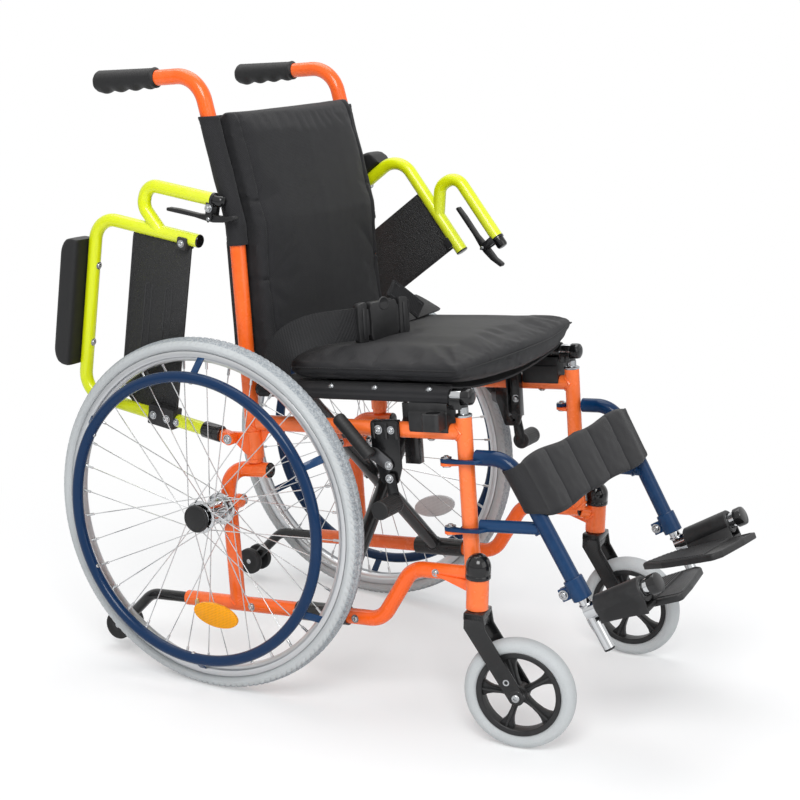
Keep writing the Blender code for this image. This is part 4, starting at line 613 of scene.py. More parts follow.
def sideFrame(side):
    sign = sides[side]
    body = bodies[side]
    x = sidePlane * sign
    t = sideTube
    r = tubeRadius
    out = across * sign
    stepUp = t["stepUp"]
    solids = [sweep([tilted(x, t["lowRear"], lowUp), tilted(x, t["stepStart"], lowUp), tilted(x, t[
        "stepEnd"], stepUp), tilted(x, t["stepFront"], stepUp)], r, steps=28, arcSteps=12), sweep([
        tilted(x, 0, lowUp), tilted(x, 0, t["bendUp"]), tilted(x, t["bendFront"], t["bendUp"])], r,
        steps=28, arcSteps=14), sweep([tilted(x, postAlong, stepUp), tilted(x, postAlong, t[
        "postTop"])], r, steps=28), sweep([tilted(x, caneAlong + r + gap, topUp), tilted(x,
        postAlong, topUp)], r, steps=28)]
    for along, up, run, other in ((0, lowUp, upward, forward), (postAlong, stepUp, upward, forward),
            (postAlong, topUp, -forward, upward), (caneAlong, topUp, forward, upward)):
        solids.append(weldRing(tilted(x, along, up), run, other, r, r))
    rear = caneAlong + t["collarRadius"] + gap
    solids.append(plate([tilted(x, rear + ahead, topUp - drop) for ahead, drop in ((0, 0.004), (t[
        "gusset"], 0.004), (0.012, 0.016), (0, t["gusset"]))], 0.003, across))
    # The castor's housing, its brace to the post and the web above it
    radius = t["housingRadius"]
    lowEnd = stemAt(sign, t["housingLow"])
    high = t["housingHigh"] - t["housingLow"]
    solids.append(lathe([(radius - 0.003, 0), (radius - 0.0005, 0.0), (radius, 0.0006), (radius,
        high - 0.0006), (radius - 0.0006, high), (radius - 0.003, high)], lowEnd, skyward, 36))
    middle = lowEnd + skyward * (high / 2 + 0.006)
    root = tilted(x, postAlong, stepUp - 0.004)
    solids += [rod(root, middle, 0.0095, 24), weldRing(middle, root - middle, skyward, 0.0095,
        radius)]
    webX = (sidePlane + t["stemPlane"]) / 2 * sign
    webTop = tilted(webX, t["stepEnd"] + plan["bend"], stepUp)
    solids.append(plate([webTop, Vector((webX, lowEnd.y, webTop.z)), Vector((webX, lowEnd.y, t[
        "housingLow"] + r))], 0.003, across))
    # Ears for the hanger's pins
    ears = [tilted(t["pinPlane"] * sign, t["pinAlong"], up) for up in t["tabUps"]]
    for ear, up in zip(ears, t["tabUps"]):
        reach = tilted(x, postAlong, up) - ear
        solids.append(roundedPad(ear, reach.normalized(), t["lugRadius"], reach.length, 0.004,
            upward))
    # The bearing tube of the axle, welded across the post
    receiver = [onAxle(at * sign) for at in (0.1500, t["receiverOuter"])]
    solids.append(lathe(mm((7, 0), (10, 0), (10.5, 0.6), (10.5, 38.4), (10, 39), (7, 39)), receiver[
        0], out, 32))
    for way in (1, -1):
        solids.append(weldRing(onAxle(x), across * way, upward, 0.0105, r))
    # The ear that the folding link turns on
    lug = linkStart(sign) + forward * 0.0038
    rise = topUp - 0.095
    solids.append(plate([lug + out * dx + upward * up for dx, up in ((-0.007, -0.006), (0.005,
        -0.006), (0.0205, 0.022), (0.0205, rise), (0.008, rise), (-0.007, 0.006))], 0.003, forward))
    piece(f"side tubes {side}", solids, "orangePaint", body, [f"side_frame_{side}"])
    # Plugs, the neck and saddle of the seat rail, pins
    saddleLow = t["postTop"] + r - railUp
    section = [(-0.0125, saddleLow), (0.0125, saddleLow), (0.0125, -0.001)]
    section += [(0.0101 * cos(-pi * i / 12), 0.0101 * sin(-pi * i / 12)) for i in range(13)]
    section.append((-0.0125, -0.001))
    saddleAt = tilted(x, t["saddleAlong"], railUp)
    saddle = plate([saddleAt + across * dx + upward * up for dx, up in section], 0.016, forward,
        0.0008)
    piece(f"tube plugs {side}", [plug(tilted(x, t["bendFront"], t["bendUp"]), forward, r), plug(
        tilted(x, t["stepFront"], stepUp), forward, r), saddle], "glossPlastic", body)
    pins = [lathe(mm((7, 0), (11.2, 0), (11.6, 0.8), (11.6, 3), (10, 4), (7, 4.6), (7, 13), (5,
        13)), tilted(x, postAlong, t["postTop"]), upward, 32)]
    for ear in ears:
        pins += [lathe(mm((1, 2), (4, 2), (4, 10.2), (3, 11.2), (1, 11.2)), ear, upward, 24), lathe(
            mm((1.5, -4.6), (5.8, -4.2), (6.2, -3.4), (6.2, -2.1), (1.5, -2.1)), ear, upward, 24)]
    pins += [lathe(mm((8, -2.6), (12.5, -2.6), (13.2, -2), (13.2, 0), (8, 0)), lowEnd, skyward, 36),
        lathe(mm((7, 0), (12.8, 0), (12.8, 2.2), (11.8, 3), (7, 3)), receiver[1], out, 6)]
    fix(body, pins)
    screw(body, lug + forward * 0.0015, forward, 0.0046, 0.0026)
    # Screws and the snap button on the lower tube
    for along, up, size in ((0.030, lowUp, 0.0042), (0.205, lowUp, 0.0042), (0.338, stepUp, 0.004)):
        screw(body, tilted((sidePlane + r - 0.0006) * sign, along, up), out, size, 0.0022)
    for along in (0.180, 0.340):
        screw(body, tilted(x, along, topUp - r + 0.0004), -upward, 0.0042, 0.0022)
    button = lathe(mm((0.8, -2), (4, -2), (4, 1.8), (3.2, 3), (1.4, 3.4)), tilted((sidePlane + r
        - 0.0004) * sign, -0.066, lowUp), out, 24)
    fix(body, [button], "brassButton")


for side in sides:
    sideFrame(side)
print("side frames: made")

# Back canes and push grips

cane = {"handleUp": 0.610, "handleBend": 0.045, "gripFront": -0.059, "gripLength": 0.107,
    "frontRadius": 0.0135, "rearRadius": 0.0160, "bumps": 4, "bumpHeight": 0.0030,
    "collarLow": 0.072, "collarHeight": 0.040, "armPlane": 0.199, "armAlong": 0.0270,
    "armUp": 0.1038, "lugPlane": 0.1898}


def backCane(side):
    sign = sides[side]
    body = bodies[side]
    x = sidePlane * sign
    k = cane
    straightUp, handleUp = plan["caneStraightUp"], k["handleUp"]
    cornerAlong = caneAlong - (handleUp - straightUp) * tan(plan["caneLean"])
    footUp = sideTube["bendUp"] + tubeRadius + gap
    gripEnd = k["gripFront"] - k["gripLength"]
    radius, high = sideTube["collarRadius"], k["collarHeight"]
    solids = [sweep([tilted(x, caneAlong, footUp), tilted(x, caneAlong, straightUp), tilted(x,
        cornerAlong, handleUp), tilted(x, gripEnd + 0.0125, handleUp)], tubeRadius, k["handleBend"],
        28, 16), lathe([(tubeRadius, 0), (radius - 0.0008, 0), (radius, 0.0008), (radius, high
        - 0.0008), (radius - 0.0008, high), (tubeRadius, high)], tilted(x, caneAlong, k[
        "collarLow"]), upward, 32)]
    # The lug that the armrest turns on
    along, up = k["armAlong"], k["armUp"]
    earOut = k["lugPlane"] - gap
    earIn = sidePlane + tubeRadius * 0.5
    ear = sideOutline((earOut + earIn) / 2 * sign, ((caneAlong, up + 0.007), (caneAlong, up
        - 0.030), (along + 0.004, up - 0.010), (along - 0.009, up - 0.004), (along - 0.009, up
        + 0.007)), 0.004)
    solids.append(plate(ear, earOut - earIn, across, 0.0006))
    piece(f"cane {side}", solids, "orangePaint", body, [f"back_cane_{side}"])
    pinEnd = tilted(0, along, up)
    pinEnd.x = (k["lugPlane"] + 0.0147 + gap) * sign
    out = across * sign
    fix(body, [lathe(mm((1.2, -14), (3, -14), (3, 0), (1.2, 0)), pinEnd, out, 20)])
    screw(body, pinEnd - out * 0.0008, out, 0.0052, 0.0024)


def sideOutline(x, pairs, bend, steps=5):
    return roundedPath([tilted(x, along, up) for along, up in pairs], bend, steps, True)


def pushGrip(side):
    x = sidePlane * sides[side]
    k = cane
    rings = []
    count = 150
    for i in range(count + 1):
        share = i / count
        radius = k["frontRadius"] + (k["rearRadius"] - k["frontRadius"]) * share
        rib = 0.5 + 0.5 * cos(2 * pi * share * 34)
        inside = ease(min(share, 1 - share) / 0.05)
        wave = sin(pi * min(1.0, share / 0.97) * k["bumps"]) ** 2
        flange = bumpOn(share, 0.035, 0.035) * 0.0012
        end = (1 - ease((1 - share) / 0.05)) * 0.0045 + (1 - ease(share / 0.02)) * 0.0012
        centre = tilted(x, k["gripFront"] - k["gripLength"] * share, k["handleUp"])
        ring = []
        for c, s in circle(48):
            sideBand = bumpOn(abs(c), 1.0, 0.06)
            reach = radius + (wave - 0.5) * k["bumpHeight"] * max(0.0, -s) ** 0.8 * inside
            reach += (rib - 0.5) * 0.0009 * max(0.0, s) ** 0.5 * inside * (1 - sideBand)
            reach += flange - end - 0.0004 * sideBand
            ring.append(centre + across * reach * c + upward * reach * s)
        rings.append(ring)
    piece(f"grip {side}", [loft(rings)], "blackRubber", bodies[side], [f"push_grip_{side}"], 50)


for side in sides:
    backCane(side)
    pushGrip(side)
print("canes: made")

# Rear wheels

wheel = {"plane": 0.2306, "radius": 0.254, "width": 0.032, "height": 0.0177, "rimDepth": 0.015,
    "rimWidth": 0.025, "flangeRadius": 0.0235, "flangeInner": 0.198, "flangeOuter": 0.2465,
    "spokes": 36, "spokeRadius": 0.00078, "wrap": radians(60), "valveTurn": radians(62),
    "reflectorAt": 0.146, "reflectorTurn": {"right": radians(-98), "left": radians(-142)},
    "reflectorLean": {"right": radians(12), "left": radians(35)}, "reflectorSize": (0.0375, 0.0175),
    "handrimPlane": 0.267, "handrimRadius": 0.2046, "handrimTube": 0.008, "brackets": 6,}


def treadedTyre(centre, axis, start, radius, width, height, steps, pitches, groove):
    # The crown carries slanted grooves and two running ones.
    half = width / 2
    other = axis.cross(start)
    inner = radius - height
    sections = []
    for i, (c, s) in enumerate(circle(steps)):
        spoke = start * c + other * s
        ring = [(inner, -half * 0.72)]
        for row in range(25):
            place = row / 24 * 2 - 1
            angle = place * radians(118)
            over = abs(angle) - pi / 2
            reach = 1 - 0.14 * over if over > 0 else abs(sin(angle)) ** 0.92
            lift = inner + height * (0.42 + 0.58 * cos(angle))
            crown = ease((0.62 - abs(place)) / 0.08)
            slant = abs((i * pitches / steps + abs(place) * 2.6) % 1.0 - 0.5) * 2
            cut = ease((0.40 - slant) / 0.16) * ease((abs(place) - 0.08) / 0.05)
            line = bumpOn(abs(place), 0.08, 0.045) + bumpOn(abs(place), 0.66, 0.045) * 0.7
            lift -= groove * (crown * cut + line)
            ring.append((max(inner, lift), half * copysign(reach, place)))
        ring.append((inner, half * 0.72))
        sections.append([centre + spoke * out + axis * wide for out, wide in ring])
    return loft(sections, True)


def spokeEnds(sign, index):
    w = wheel
    lean = 1 if (index // 2) % 2 else -1
    plane = w["flangeInner"] if index % 2 else w["flangeOuter"]
    hubTurn = 2 * pi * index / w["spokes"]
    rimTurn = hubTurn + lean * w["wrap"]
    hubReach = w["flangeRadius"] - 0.003
    rimReach = w["radius"] - w["height"] - w["rimDepth"] + 0.001
    return [Vector((x * sign, axleY + reach * cos(turn), axleHeight + reach * sin(turn))) for x,
        reach, turn in ((plane + lean * 0.0024, hubReach, hubTurn), (w["plane"], rimReach,
        rimTurn))]


def rearWheel(side):
    sign = sides[side]
    w = wheel
    body = f"rear_wheel_{side}"
    out = across * sign
    down = -skyward
    centre = onAxle(w["plane"] * sign)
    tyre = treadedTyre(centre, across, down, w["radius"], w["width"], w["height"], 1080, 150,
        0.0019)
    piece(f"tyre {side}", [tyre], "greyTyre", body, [f"rear_tyre_{side}"], 60)
    # The rim: a hollow box section with a bead seat, a brake track and an eyelet band
    low = w["radius"] - w["height"] - w["rimDepth"]
    half = w["rimWidth"] / 2
    rim = [(0, 0.45), (0.0012, 0.62), (0.0062, 0.985), (0.0075, 1), (0.0142, 1), (0.0147, 0.97)]
    rim = [(low + up, -wide * half) for up, wide in rim] + [(low + up, wide * half) for up,
        wide in rim[::-1]]
    rim += [(low - 0.0003, 0.3 * half), (low - 0.0003, -0.3 * half)]
    piece(f"rim {side}", [lathe(rim, centre, across, 288, True, down)], "rimMetal", body, [
        f"rear_wheel_{side}"])
    spokes = []
    for index in range(w["spokes"]):
        hubEnd, rimEnd = spokeEnds(sign, index)
        run = (rimEnd - hubEnd).normalized()
        spokes += [rod(hubEnd, rimEnd, w["spokeRadius"], 8, 0.0002), lathe(mm((1.1, 0), (1.9, 0.6),
            (1.9, 10), (2.4, 11.5), (2.4, 15)), rimEnd - run * 0.0130, run, 10), lathe(mm((0.4,
            -1.2), (2, -1), (2.2, 0.2), (0.8, 1)), hubEnd + out * 0.0002, out, 10)]
    piece(f"spokes {side}", spokes, "spokeSteel", body)
    # The hub with its drilled flanges, its end cap and the axle's nuts
    hub = onAxle(0)
    fr = w["flangeRadius"]
    inner, outer = w["flangeInner"], w["flangeOuter"]
    flange = [(0.0150, -0.0022), (fr - 0.0012, -0.0018), (fr, -0.0010), (fr, 0.0010), (fr - 0.0012,
        0.0018), (0.0150, 0.0022)]
    profile = mm((6.5, 190.5), (10, 190.5), (12.5, 191.8), (13.5, 195))
    profile += [(r, inner + d) for r, d in flange]
    profile += [(0.0120, inner + 0.0060), (0.0112, inner + 0.0240), (0.0120, outer - 0.0060)]
    profile += [(r, outer + d) for r, d in flange] + mm((14, 254.5), (6.5, 254.7))
    chrome = [lathe(profile, hub, out, 48), rod(hub + out * 0.1495, hub + out * 0.1905, 0.0062, 20),
        lathe(mm((4, 140.2), (8.5, 140.2), (9, 141), (9, 149), (4, 149.5)), hub, out, 6)]
    piece(f"hub {side}", chrome, "brightChrome", body)
    # A domed plastic cap with a raised rim
    cap = mm((12, 254.8), (18.8, 255), (19.6, 255.8), (19.6, 258.8), (19, 259.8), (17.4, 260.2), (
        16.6, 259.6), (12, 260.6), (6, 261.3), (1, 261.6))
    piece(f"hub cap {side}", [lathe(cap, hub, out, 48)], "blackPlastic", body)
    # The valve and the reflector between the spokes
    turn = w["valveTurn"]
    ray = Vector((0, cos(turn), sin(turn)))
    valve = mm((1, 0), (3.6, 0.4), (3.6, 10), (3, 11), (3, 25), (1.2, 26.2))
    piece(f"valve {side}", [lathe(valve, centre + ray * (low - 0.0250), ray, 20)], "blackRubber",
        body)
    turn = w["reflectorTurn"][side]
    face = Vector((0, cos(turn), sin(turn)))
    length = face.cross(across)
    middle = hub + out * ((outer + w["plane"]) / 2 + 0.001) + face * w["reflectorAt"]
    lean = w["reflectorLean"][side]
    length = spun(across, lean, length) * w["reflectorSize"][0]
    face = spun(across, lean, face) * w["reflectorSize"][1]
    lens = "amberLens" if side == "right" else "clearLens"
    outline = [middle + length * c + face * s for c, s in circle(56)]
    piece(f"reflector {side}", [plate(outline, 0.0064, across, 0.0018)], lens, body)
    # The handrim on its brackets
    ringCentre = onAxle(w["handrimPlane"] * sign)
    ringRadius, tube = w["handrimRadius"], w["handrimTube"]
    navy = [lathe([(ringRadius + tube * c, tube * s) for c, s in circle(20)], ringCentre, across,
        216, True, down)]
    rimSide = onAxle((w["plane"] + half + gap) * sign)
    screws = []
    for c, s in circle(w["brackets"], 0.5):
        spoke = Vector((0, c, s))
        foot = rimSide + spoke * (w["radius"] - w["height"] - w["rimDepth"] / 2)
        head = ringCentre + spoke * ringRadius
        square = spoke.cross(across).normalized()
        thick = square.cross((head - foot).normalized()).normalized() * sign * 0.0030
        base = [foot + square * 0.0058, head + square * 0.0052, head - square * 0.0052, foot
            - square * 0.0058]
        upper = [p + thick for p in base]
        upper[0].x = upper[3].x = rimSide.x
        navy.append(easedEdges(loft([base, upper]), 0.0004))
        screws += boltHead(head - spoke * (tube - 0.0006), -spoke, 0.0030, 0.0016, False)
    piece(f"handrim {side}", navy, "navyPaint", body, [f"handrim_{side}"])
    fix(body, screws)


for side in sides:
    rearWheel(side)
print("rear wheels: made")

# Castors

castor = {"radius": 0.0765, "width": 0.027, "tyreHeight": 0.0180, "trail": 0.0632, "turn": {
    "right": radians(9.8), "left": radians(2.0)}, "gap": 0.034, "blade": 0.004, "bladeWidth": 0.024,
    "crown": 0.022, "domeRadius": 0.017, "domeHeight": 0.034}


def castorParts(side):
    sign = sides[side]
    k = castor
    turn = k["turn"][side]
    ahead = Vector((sin(turn), -cos(turn), 0))
    cross = skyward.cross(ahead)
    stem = stemAt(sign, 0.0)
    hub = stem + ahead * k["trail"] + skyward * k["radius"]
    crownTop = sideTube["housingLow"] - 0.0004
    crownLow = crownTop - k["crown"]
    halfGap = k["gap"] / 2
    half = k["bladeWidth"] / 2
    blade = k["blade"]
    # The fork: a stepped crown and two blades that taper to the axle
    wide = k["gap"] + 2 * blade
    fork = [block(stem + ahead * 0.001 + skyward * height, size, (cross, ahead, skyward), edge)
        for height, size, edge in ((crownTop - 0.0055, (wide, 2 * half + 0.004, 0.0110), 0.0022), (
        crownLow + 0.0058, (wide - 0.001, 2 * half + 0.002, 0.0116), 0.0014))]
    slant = hub - stem - skyward * crownLow
    slant = Vector((slant.dot(ahead), slant.z)).normalized()
    square = Vector((-slant.y, slant.x))
    outline = [(-half, crownTop - 0.001), (half + 0.002, crownTop - 0.001), (half + 0.006,
        crownLow)]
    for i in range(15):
        angle = pi * i / 14
        swing = square * cos(angle) * 0.0112 + slant * sin(angle) * 0.0112
        outline.append((k["trail"] + swing.x, k["radius"] + swing.y))
    outline.append((-half, crownLow))
    metal = [rod(hub - cross * (halfGap + 0.006), hub + cross * (halfGap + 0.006), 0.0038, 20)]
    for way in (-1, 1):
        out = cross * way
        points = [stem + ahead * trail + skyward * height + out * (halfGap + blade / 2) for trail,
            height in outline]
        fork.append(plate(points, blade, cross, 0.0009))
        fork.append(lathe(mm((4, 0), (9.8, 0), (10.4, 1), (10.4, 4), (9.6, 4.8), (4, 4.8)), hub
            + out * (halfGap + 0.0002), out, 28))
        face = hub + out * (halfGap + blade - 0.0002)
        metal += (boltHead(face, out, 0.0058, 0.0036) if way * sign > 0 else nutOn(face, out,
            0.0062, 0.0042))
        # The spare hole above the axle
        spare = hub - (ahead * slant.x + skyward * slant.y) * 0.024
        spare += out * (halfGap + blade - 0.0002)
        metal.append(lathe(mm((2.6, 0), (2.6, 0.4), (4.4, 0.6), (4.6, 0)), spare, out, 20))
    piece(f"fork {side}", fork, "blackPaint", f"castor_{side}", [f"castor_fork_{side}"])
    fix(f"castor_{side}", metal)
    # The wheel: a tyre round a moulded rim with five forked spokes
    body = f"castor_wheel_{side}"
    tyre = treadedTyre(hub, cross, -skyward, k["radius"], k["width"], k["tyreHeight"], 240, 1, 0.0)
    piece(f"castor tyre {side}", [tyre], "greyTyre", body, [f"castor_tyre_{side}"], 60)
    rimOut = k["radius"] - k["tyreHeight"] - gap
    rimIn = rimOut - 0.0075
    rimHalf = 0.36 * k["width"]
    rim = [(rimIn, -rimHalf + 0.0010), (rimIn + 0.0010, -rimHalf), (rimOut - 0.0008, -rimHalf
        - 0.0006), (rimOut, -rimHalf), (rimOut, rimHalf), (rimOut - 0.0008, rimHalf + 0.0006), (
        rimIn + 0.0010, rimHalf), (rimIn, rimHalf - 0.0010), (rimIn - 0.0008, 0.002), (rimIn
        - 0.0008, -0.002)]
    hubHalf = halfGap - 0.0006
    boss = [(0.0042, hubHalf), (0.0090, hubHalf), (0.0098, hubHalf - 0.0010), (0.0105, 0.0085), (
        0.0125, 0.0075), (0.0130, 0)]
    boss = [(r, -d) for r, d in boss] + boss[-2::-1]
    moulded = [lathe(rim, hub, cross, 96, True, -skyward), lathe(boss, hub, cross, 40)]
    reach = rimIn + 0.0012
    arm = mm((9.5, -6), (16, -4.2), (25, -3.6), (36, -4.6), (43, -6.8)) + [(reach, -0.0120)]
    arm += [(out, -off) for out, off in arm[::-1]]
    ridge = [(0.0100, -0.0014), (reach, -0.0014), (reach, 0.0014), (0.0100, 0.0014)]
    for c, s in circle(5, 0.5):
        run = ahead * c + skyward * s
        way = run.cross(cross)
        for pairs, thick, edge in ((arm, rimHalf * 1.05, 0.0012), (ridge, rimHalf * 1.7, 0.0007)):
            points = [hub + run * out + way * off for out, off in pairs]
            moulded.append(plate(points, thick, cross, edge))
    piece(f"castor wheel {side}", moulded, "blackPlastic", body, [f"castor_wheel_{side}"])
    seal = [(0.0040, hubHalf - 0.0016), (0.0084, hubHalf - 0.0014), (0.0084, hubHalf - 0.0002), (
        0.0040, hubHalf - 0.0002)]
    fix(body, [lathe(seal, hub, cross * way, 28) for way in (-1, 1)])
    # The domed cap over the housing, with a moulding seam
    dr = k["domeRadius"]
    dh = k["domeHeight"]
    dome = [(0.004, 0), (dr - 0.0006, 0), (dr, 0.0006), (dr, 0.0050), (dr - 0.0007, 0.0056), (dr
        - 0.0007, 0.0062), (dr, 0.0068), (dr, 0.45 * dh)]
    for i in range(1, 17):
        angle = pi / 2 * i / 16.5
        dome.append((dr * cos(angle), 0.45 * dh + 0.55 * dh * sin(angle)))

    def seam(turnTo, radius, distance):
        off = abs(sin(turnTo - 0.6)) * radius
        return radius + (0.00035 if off < 0.0009 and radius > 0.004 else 0.0), distance

    base = stemAt(sign, sideTube["housingHigh"] + gap)
    piece(f"castor cap {side}", [lathe(dome, base, skyward, 72, shape=seam)], "glossPlastic",
        bodies[side], [f"castor_cap_{side}"], 50)


for side in sides:
    castorParts(side)
print("castors: made")

# Cross braces with their sleeves and seat rails

brace = {"radius": 0.011, "sleeveWall": 0.0025, "sleeveRear": 0.105, "sleeveLength": 0.085,
    "rearAlong": 0.140, "frontAlong": 0.165, "railRear": 0.070, "railFront": 0.392,
    "linkReach": 0.135}


def crossBrace(footSide):
    k = brace
    footX = sidePlane * sides[footSide]
    railX = -footX
    along = k["rearAlong"] if footSide == "left" else k["frontAlong"]
    body = f"brace_{footSide}"
    foot = tilted(footX, along, lowUp)
    head = tilted(railX, along, railUp)
    run = (head - foot).normalized()
    inner = tubeRadius + gap
    outer = inner + k["sleeveWall"]
    length = k["sleeveLength"]
    rail = plan["railRadius"]
    solids = [lathe([(inner, 0.0003), (inner, length - 0.0003), (inner + 0.0006, length), (outer
        - 0.0008, length), (outer, length - 0.0008), (outer, 0.0008), (outer - 0.0008, 0), (inner
        + 0.0006, 0)], tilted(footX, k["sleeveRear"], lowUp), forward, 40, True), sweep([foot + run
        * (inner + k["sleeveWall"] / 2), head], k["radius"], steps=30), rod(tilted(railX, k[
        "railRear"], railUp), tilted(railX, 0.377, railUp), rail, 28), weldRing(foot, run, forward,
        k["radius"], outer), weldRing(head, -run, forward, k["radius"], rail)]
    cap = mm((4, -0.5), (10.8, -0.5), (11.5, 0.6), (11.5, 9.2), (10.8, 11.8), (8.5, 13.5), (4.5,
        13.9), (1, 13.9))
    rearCap = mm((9.4, 0), (9.4, -1), (8, -2.6), (3, -3))
    piece(f"brace {footSide}", solids, "blackPaint", body, [f"cross_brace_{footSide}"])
    piece(f"rail caps {footSide}", [lathe(cap, tilted(railX, k["railFront"], railUp), forward, 40),
        lathe(rearCap, tilted(railX, k["railRear"], railUp), forward, 28)], "glossPlastic", body)
    sleeve = mm((9.3, 0), (10, 0.2), (10.3, 0.8), (10.3, 16.5), (10, 17.1), (9.3, 17.1))
    fix(body, [lathe(sleeve, tilted(railX, 0.3748, railUp), forward, 36)], "brightChrome")
    if footSide == "left":
        up = (lowUp + railUp) / 2
        screw(body, tilted(0, k["frontAlong"] + k["radius"] + gap, up), forward, 0.0062, 0.0032)
        fix(body, nutOn(tilted(0, k["rearAlong"] - k["radius"], up), -forward, 0.0066, 0.0046))
        washer = tilted(0, k["rearAlong"] + k["radius"] - 0.001, up)
        fix(body, [rod(washer, washer + forward * 0.0038, 0.0075, 24)])


def foldingLink(side):
    sign = sides[side]
    start = linkStart(sign)
    slope, reach = plan["braceSlope"], brace["linkReach"]
    along = brace["frontAlong"] + brace["radius"] + gap + 0.002
    meet = tilted((sidePlane - reach * cos(slope)) * sign, along, railUp - reach * sin(slope))
    run = (meet - start).normalized()
    square = run.cross(forward)
    length = (meet - start).length
    outline = []
    for centre, first, shares, way in ((start, 0.5, (0.22, 0.78), -1), (meet, -0.5, (0.78, 0.22),
            1)):
        outline += arc(centre, run * 0.0071, square * 0.0071, pi * first, pi, 16)
        outline += [start + run * length * share + square * 0.0058 * way for share in shares]
    body = f"link_{side}"
    piece(f"folding link {side}", [plate(outline, 0.004, forward, 0.0008)], "orangePaint", body, [
        f"folding_link_{side}"])
    screw(body, meet + forward * 0.002, forward, 0.0050, 0.0028)
    fix(body, [lathe(mm((3, 0), (6.2, 0.1), (6.2, 0.8), (3, 0.9)), start - forward * 0.0029,
        forward, 24)])


for side in sides:
    crossBrace(side)
for side in sides:
    foldingLink(side)
print("braces: made")

# Rail guides with the armrest's cup, and the channels inboard of the upper tube

guide = {"rear": 0.314, "front": 0.372, "half": 0.0132, "top": 0.164, "bottom": 0.1262,
    "cupAlong": 0.3575, "cupHalf": 0.0123, "cupTop": 0.154, "cupFloor": 0.146, "cupBottom": 0.130,
    "cupInner": 0.0097, "channelAlong": 0.302, "channelLow": 0.074, "channelHigh": 0.158,
    "channelDeep": 0.013, "channelHalf": 0.011, "channelWall": 0.0025}


def railGuide(side):
    sign = sides[side]
    k = guide
    x = sidePlane * sign
    body = bodies[side]
    half, bottom, top = k["half"], k["bottom"], k["top"] - 0.002
    slot = tubeRadius + gap
    cradle = plan["hemRadius"] + 0.0006
    neck = half - 0.0016
    section = [(-half, bottom), (-half, 0.1500), (-neck, 0.1520), (-neck, top)]
    for step in range(13):
        turn = radians(218 + 104 * step / 12)
        section.append((cradle * cos(turn), railUp + cradle * sin(turn)))
    section += [(neck, top), (neck, 0.1520), (half, 0.1500), (half, bottom), (slot, bottom)]
    for step in range(17):
        turn = pi * step / 16
        section.append((slot * cos(turn), topUp + slot * sin(turn)))
    section.append((-slot, bottom))
    middle = (k["rear"] + k["front"]) / 2
    solids = [plate([tilted(x + dx, middle, up) for dx, up in section], k["front"] - k["rear"],
        forward, 0.0007)]
    inner, cup, cupTop, cupLow = k["cupInner"], k["cupHalf"], k["cupTop"], k["cupBottom"]

    def squared(turn, radius, distance):
        if 0.002 < radius < inner + 0.0008:
            return radius, distance
        return radius * min(1.26, 1 / max(abs(cos(turn)), abs(sin(turn)))), distance

    solids.append(lathe([(inner, k["cupFloor"]), (inner, cupTop - 0.0006), (cup - 0.0010, cupTop), (
        cup, cupTop - 0.0012), (cup, cupLow + 0.0008), (cup - 0.0008, cupLow)], tilted(cane[
        "armPlane"] * sign, k["cupAlong"], 0), upward, 64, start=across, shape=squared))
    for rib in (0.022, 0.036):
        solids.append(block(tilted(x + sign * (half + 0.0001), k["rear"] + rib, 0.1385), (0.0016,
            0.0030, 0.022), edge=0.0005))
    piece(f"rail guide {side}", solids, "blackPlastic", body, [f"rail_guide_{side}"])
    channelX = (sidePlane - tubeRadius - gap) * sign
    deep, wide, wall = k["channelDeep"], k["channelHalf"], k["channelWall"]
    low, high = k["channelLow"], k["channelHigh"]
    outline = [tilted(channelX - dx * sign, k["channelAlong"] + dy, (low + high) / 2) for dx,
        dy in ((0, -wide), (0, wide), (deep, wide), (deep, wide - wall), (wall, wide - wall), (wall,
        wall - wide), (deep, wall - wide), (deep, -wide))]
    piece(f"channel {side}", [plate(outline, high - low, upward, 0.0005)], "blackPaint", body, [
        f"frame_channel_{side}"])
    screw(body, tilted(channelX - deep * 0.22 * sign, k["channelAlong"], 0.100), -across * sign,
        0.0042, 0.0024)


for side in sides:
    railGuide(side)
print("guides: made")

# Flip-up armrests, in their photographed lean

arm = {"radius": 0.0095, "lean": {"right": radians(77.6), "left": radians(33.6)}, "rearLeg": 0.003,
    "top": 0.262, "frontLeg": 0.2685, "frontEnd": 0.082, "leaves": 0.148, "branchTop": 0.182,
    "branchLeg": 0.3305, "branchEnd": 0.062, "bend": 0.034, "padRear": 0.047, "padLength": 0.187,
    "padHeight": 0.030, "padWidth": 0.042, "padOffset": 0.0125, "guardLow": 0.093,
    "guardHigh": 0.195, "latchAlong": 0.304, "latchPivot": 0.064, "latchHigh": 0.138,
    "latchLow": 0.026, "latchWidth": 0.012}


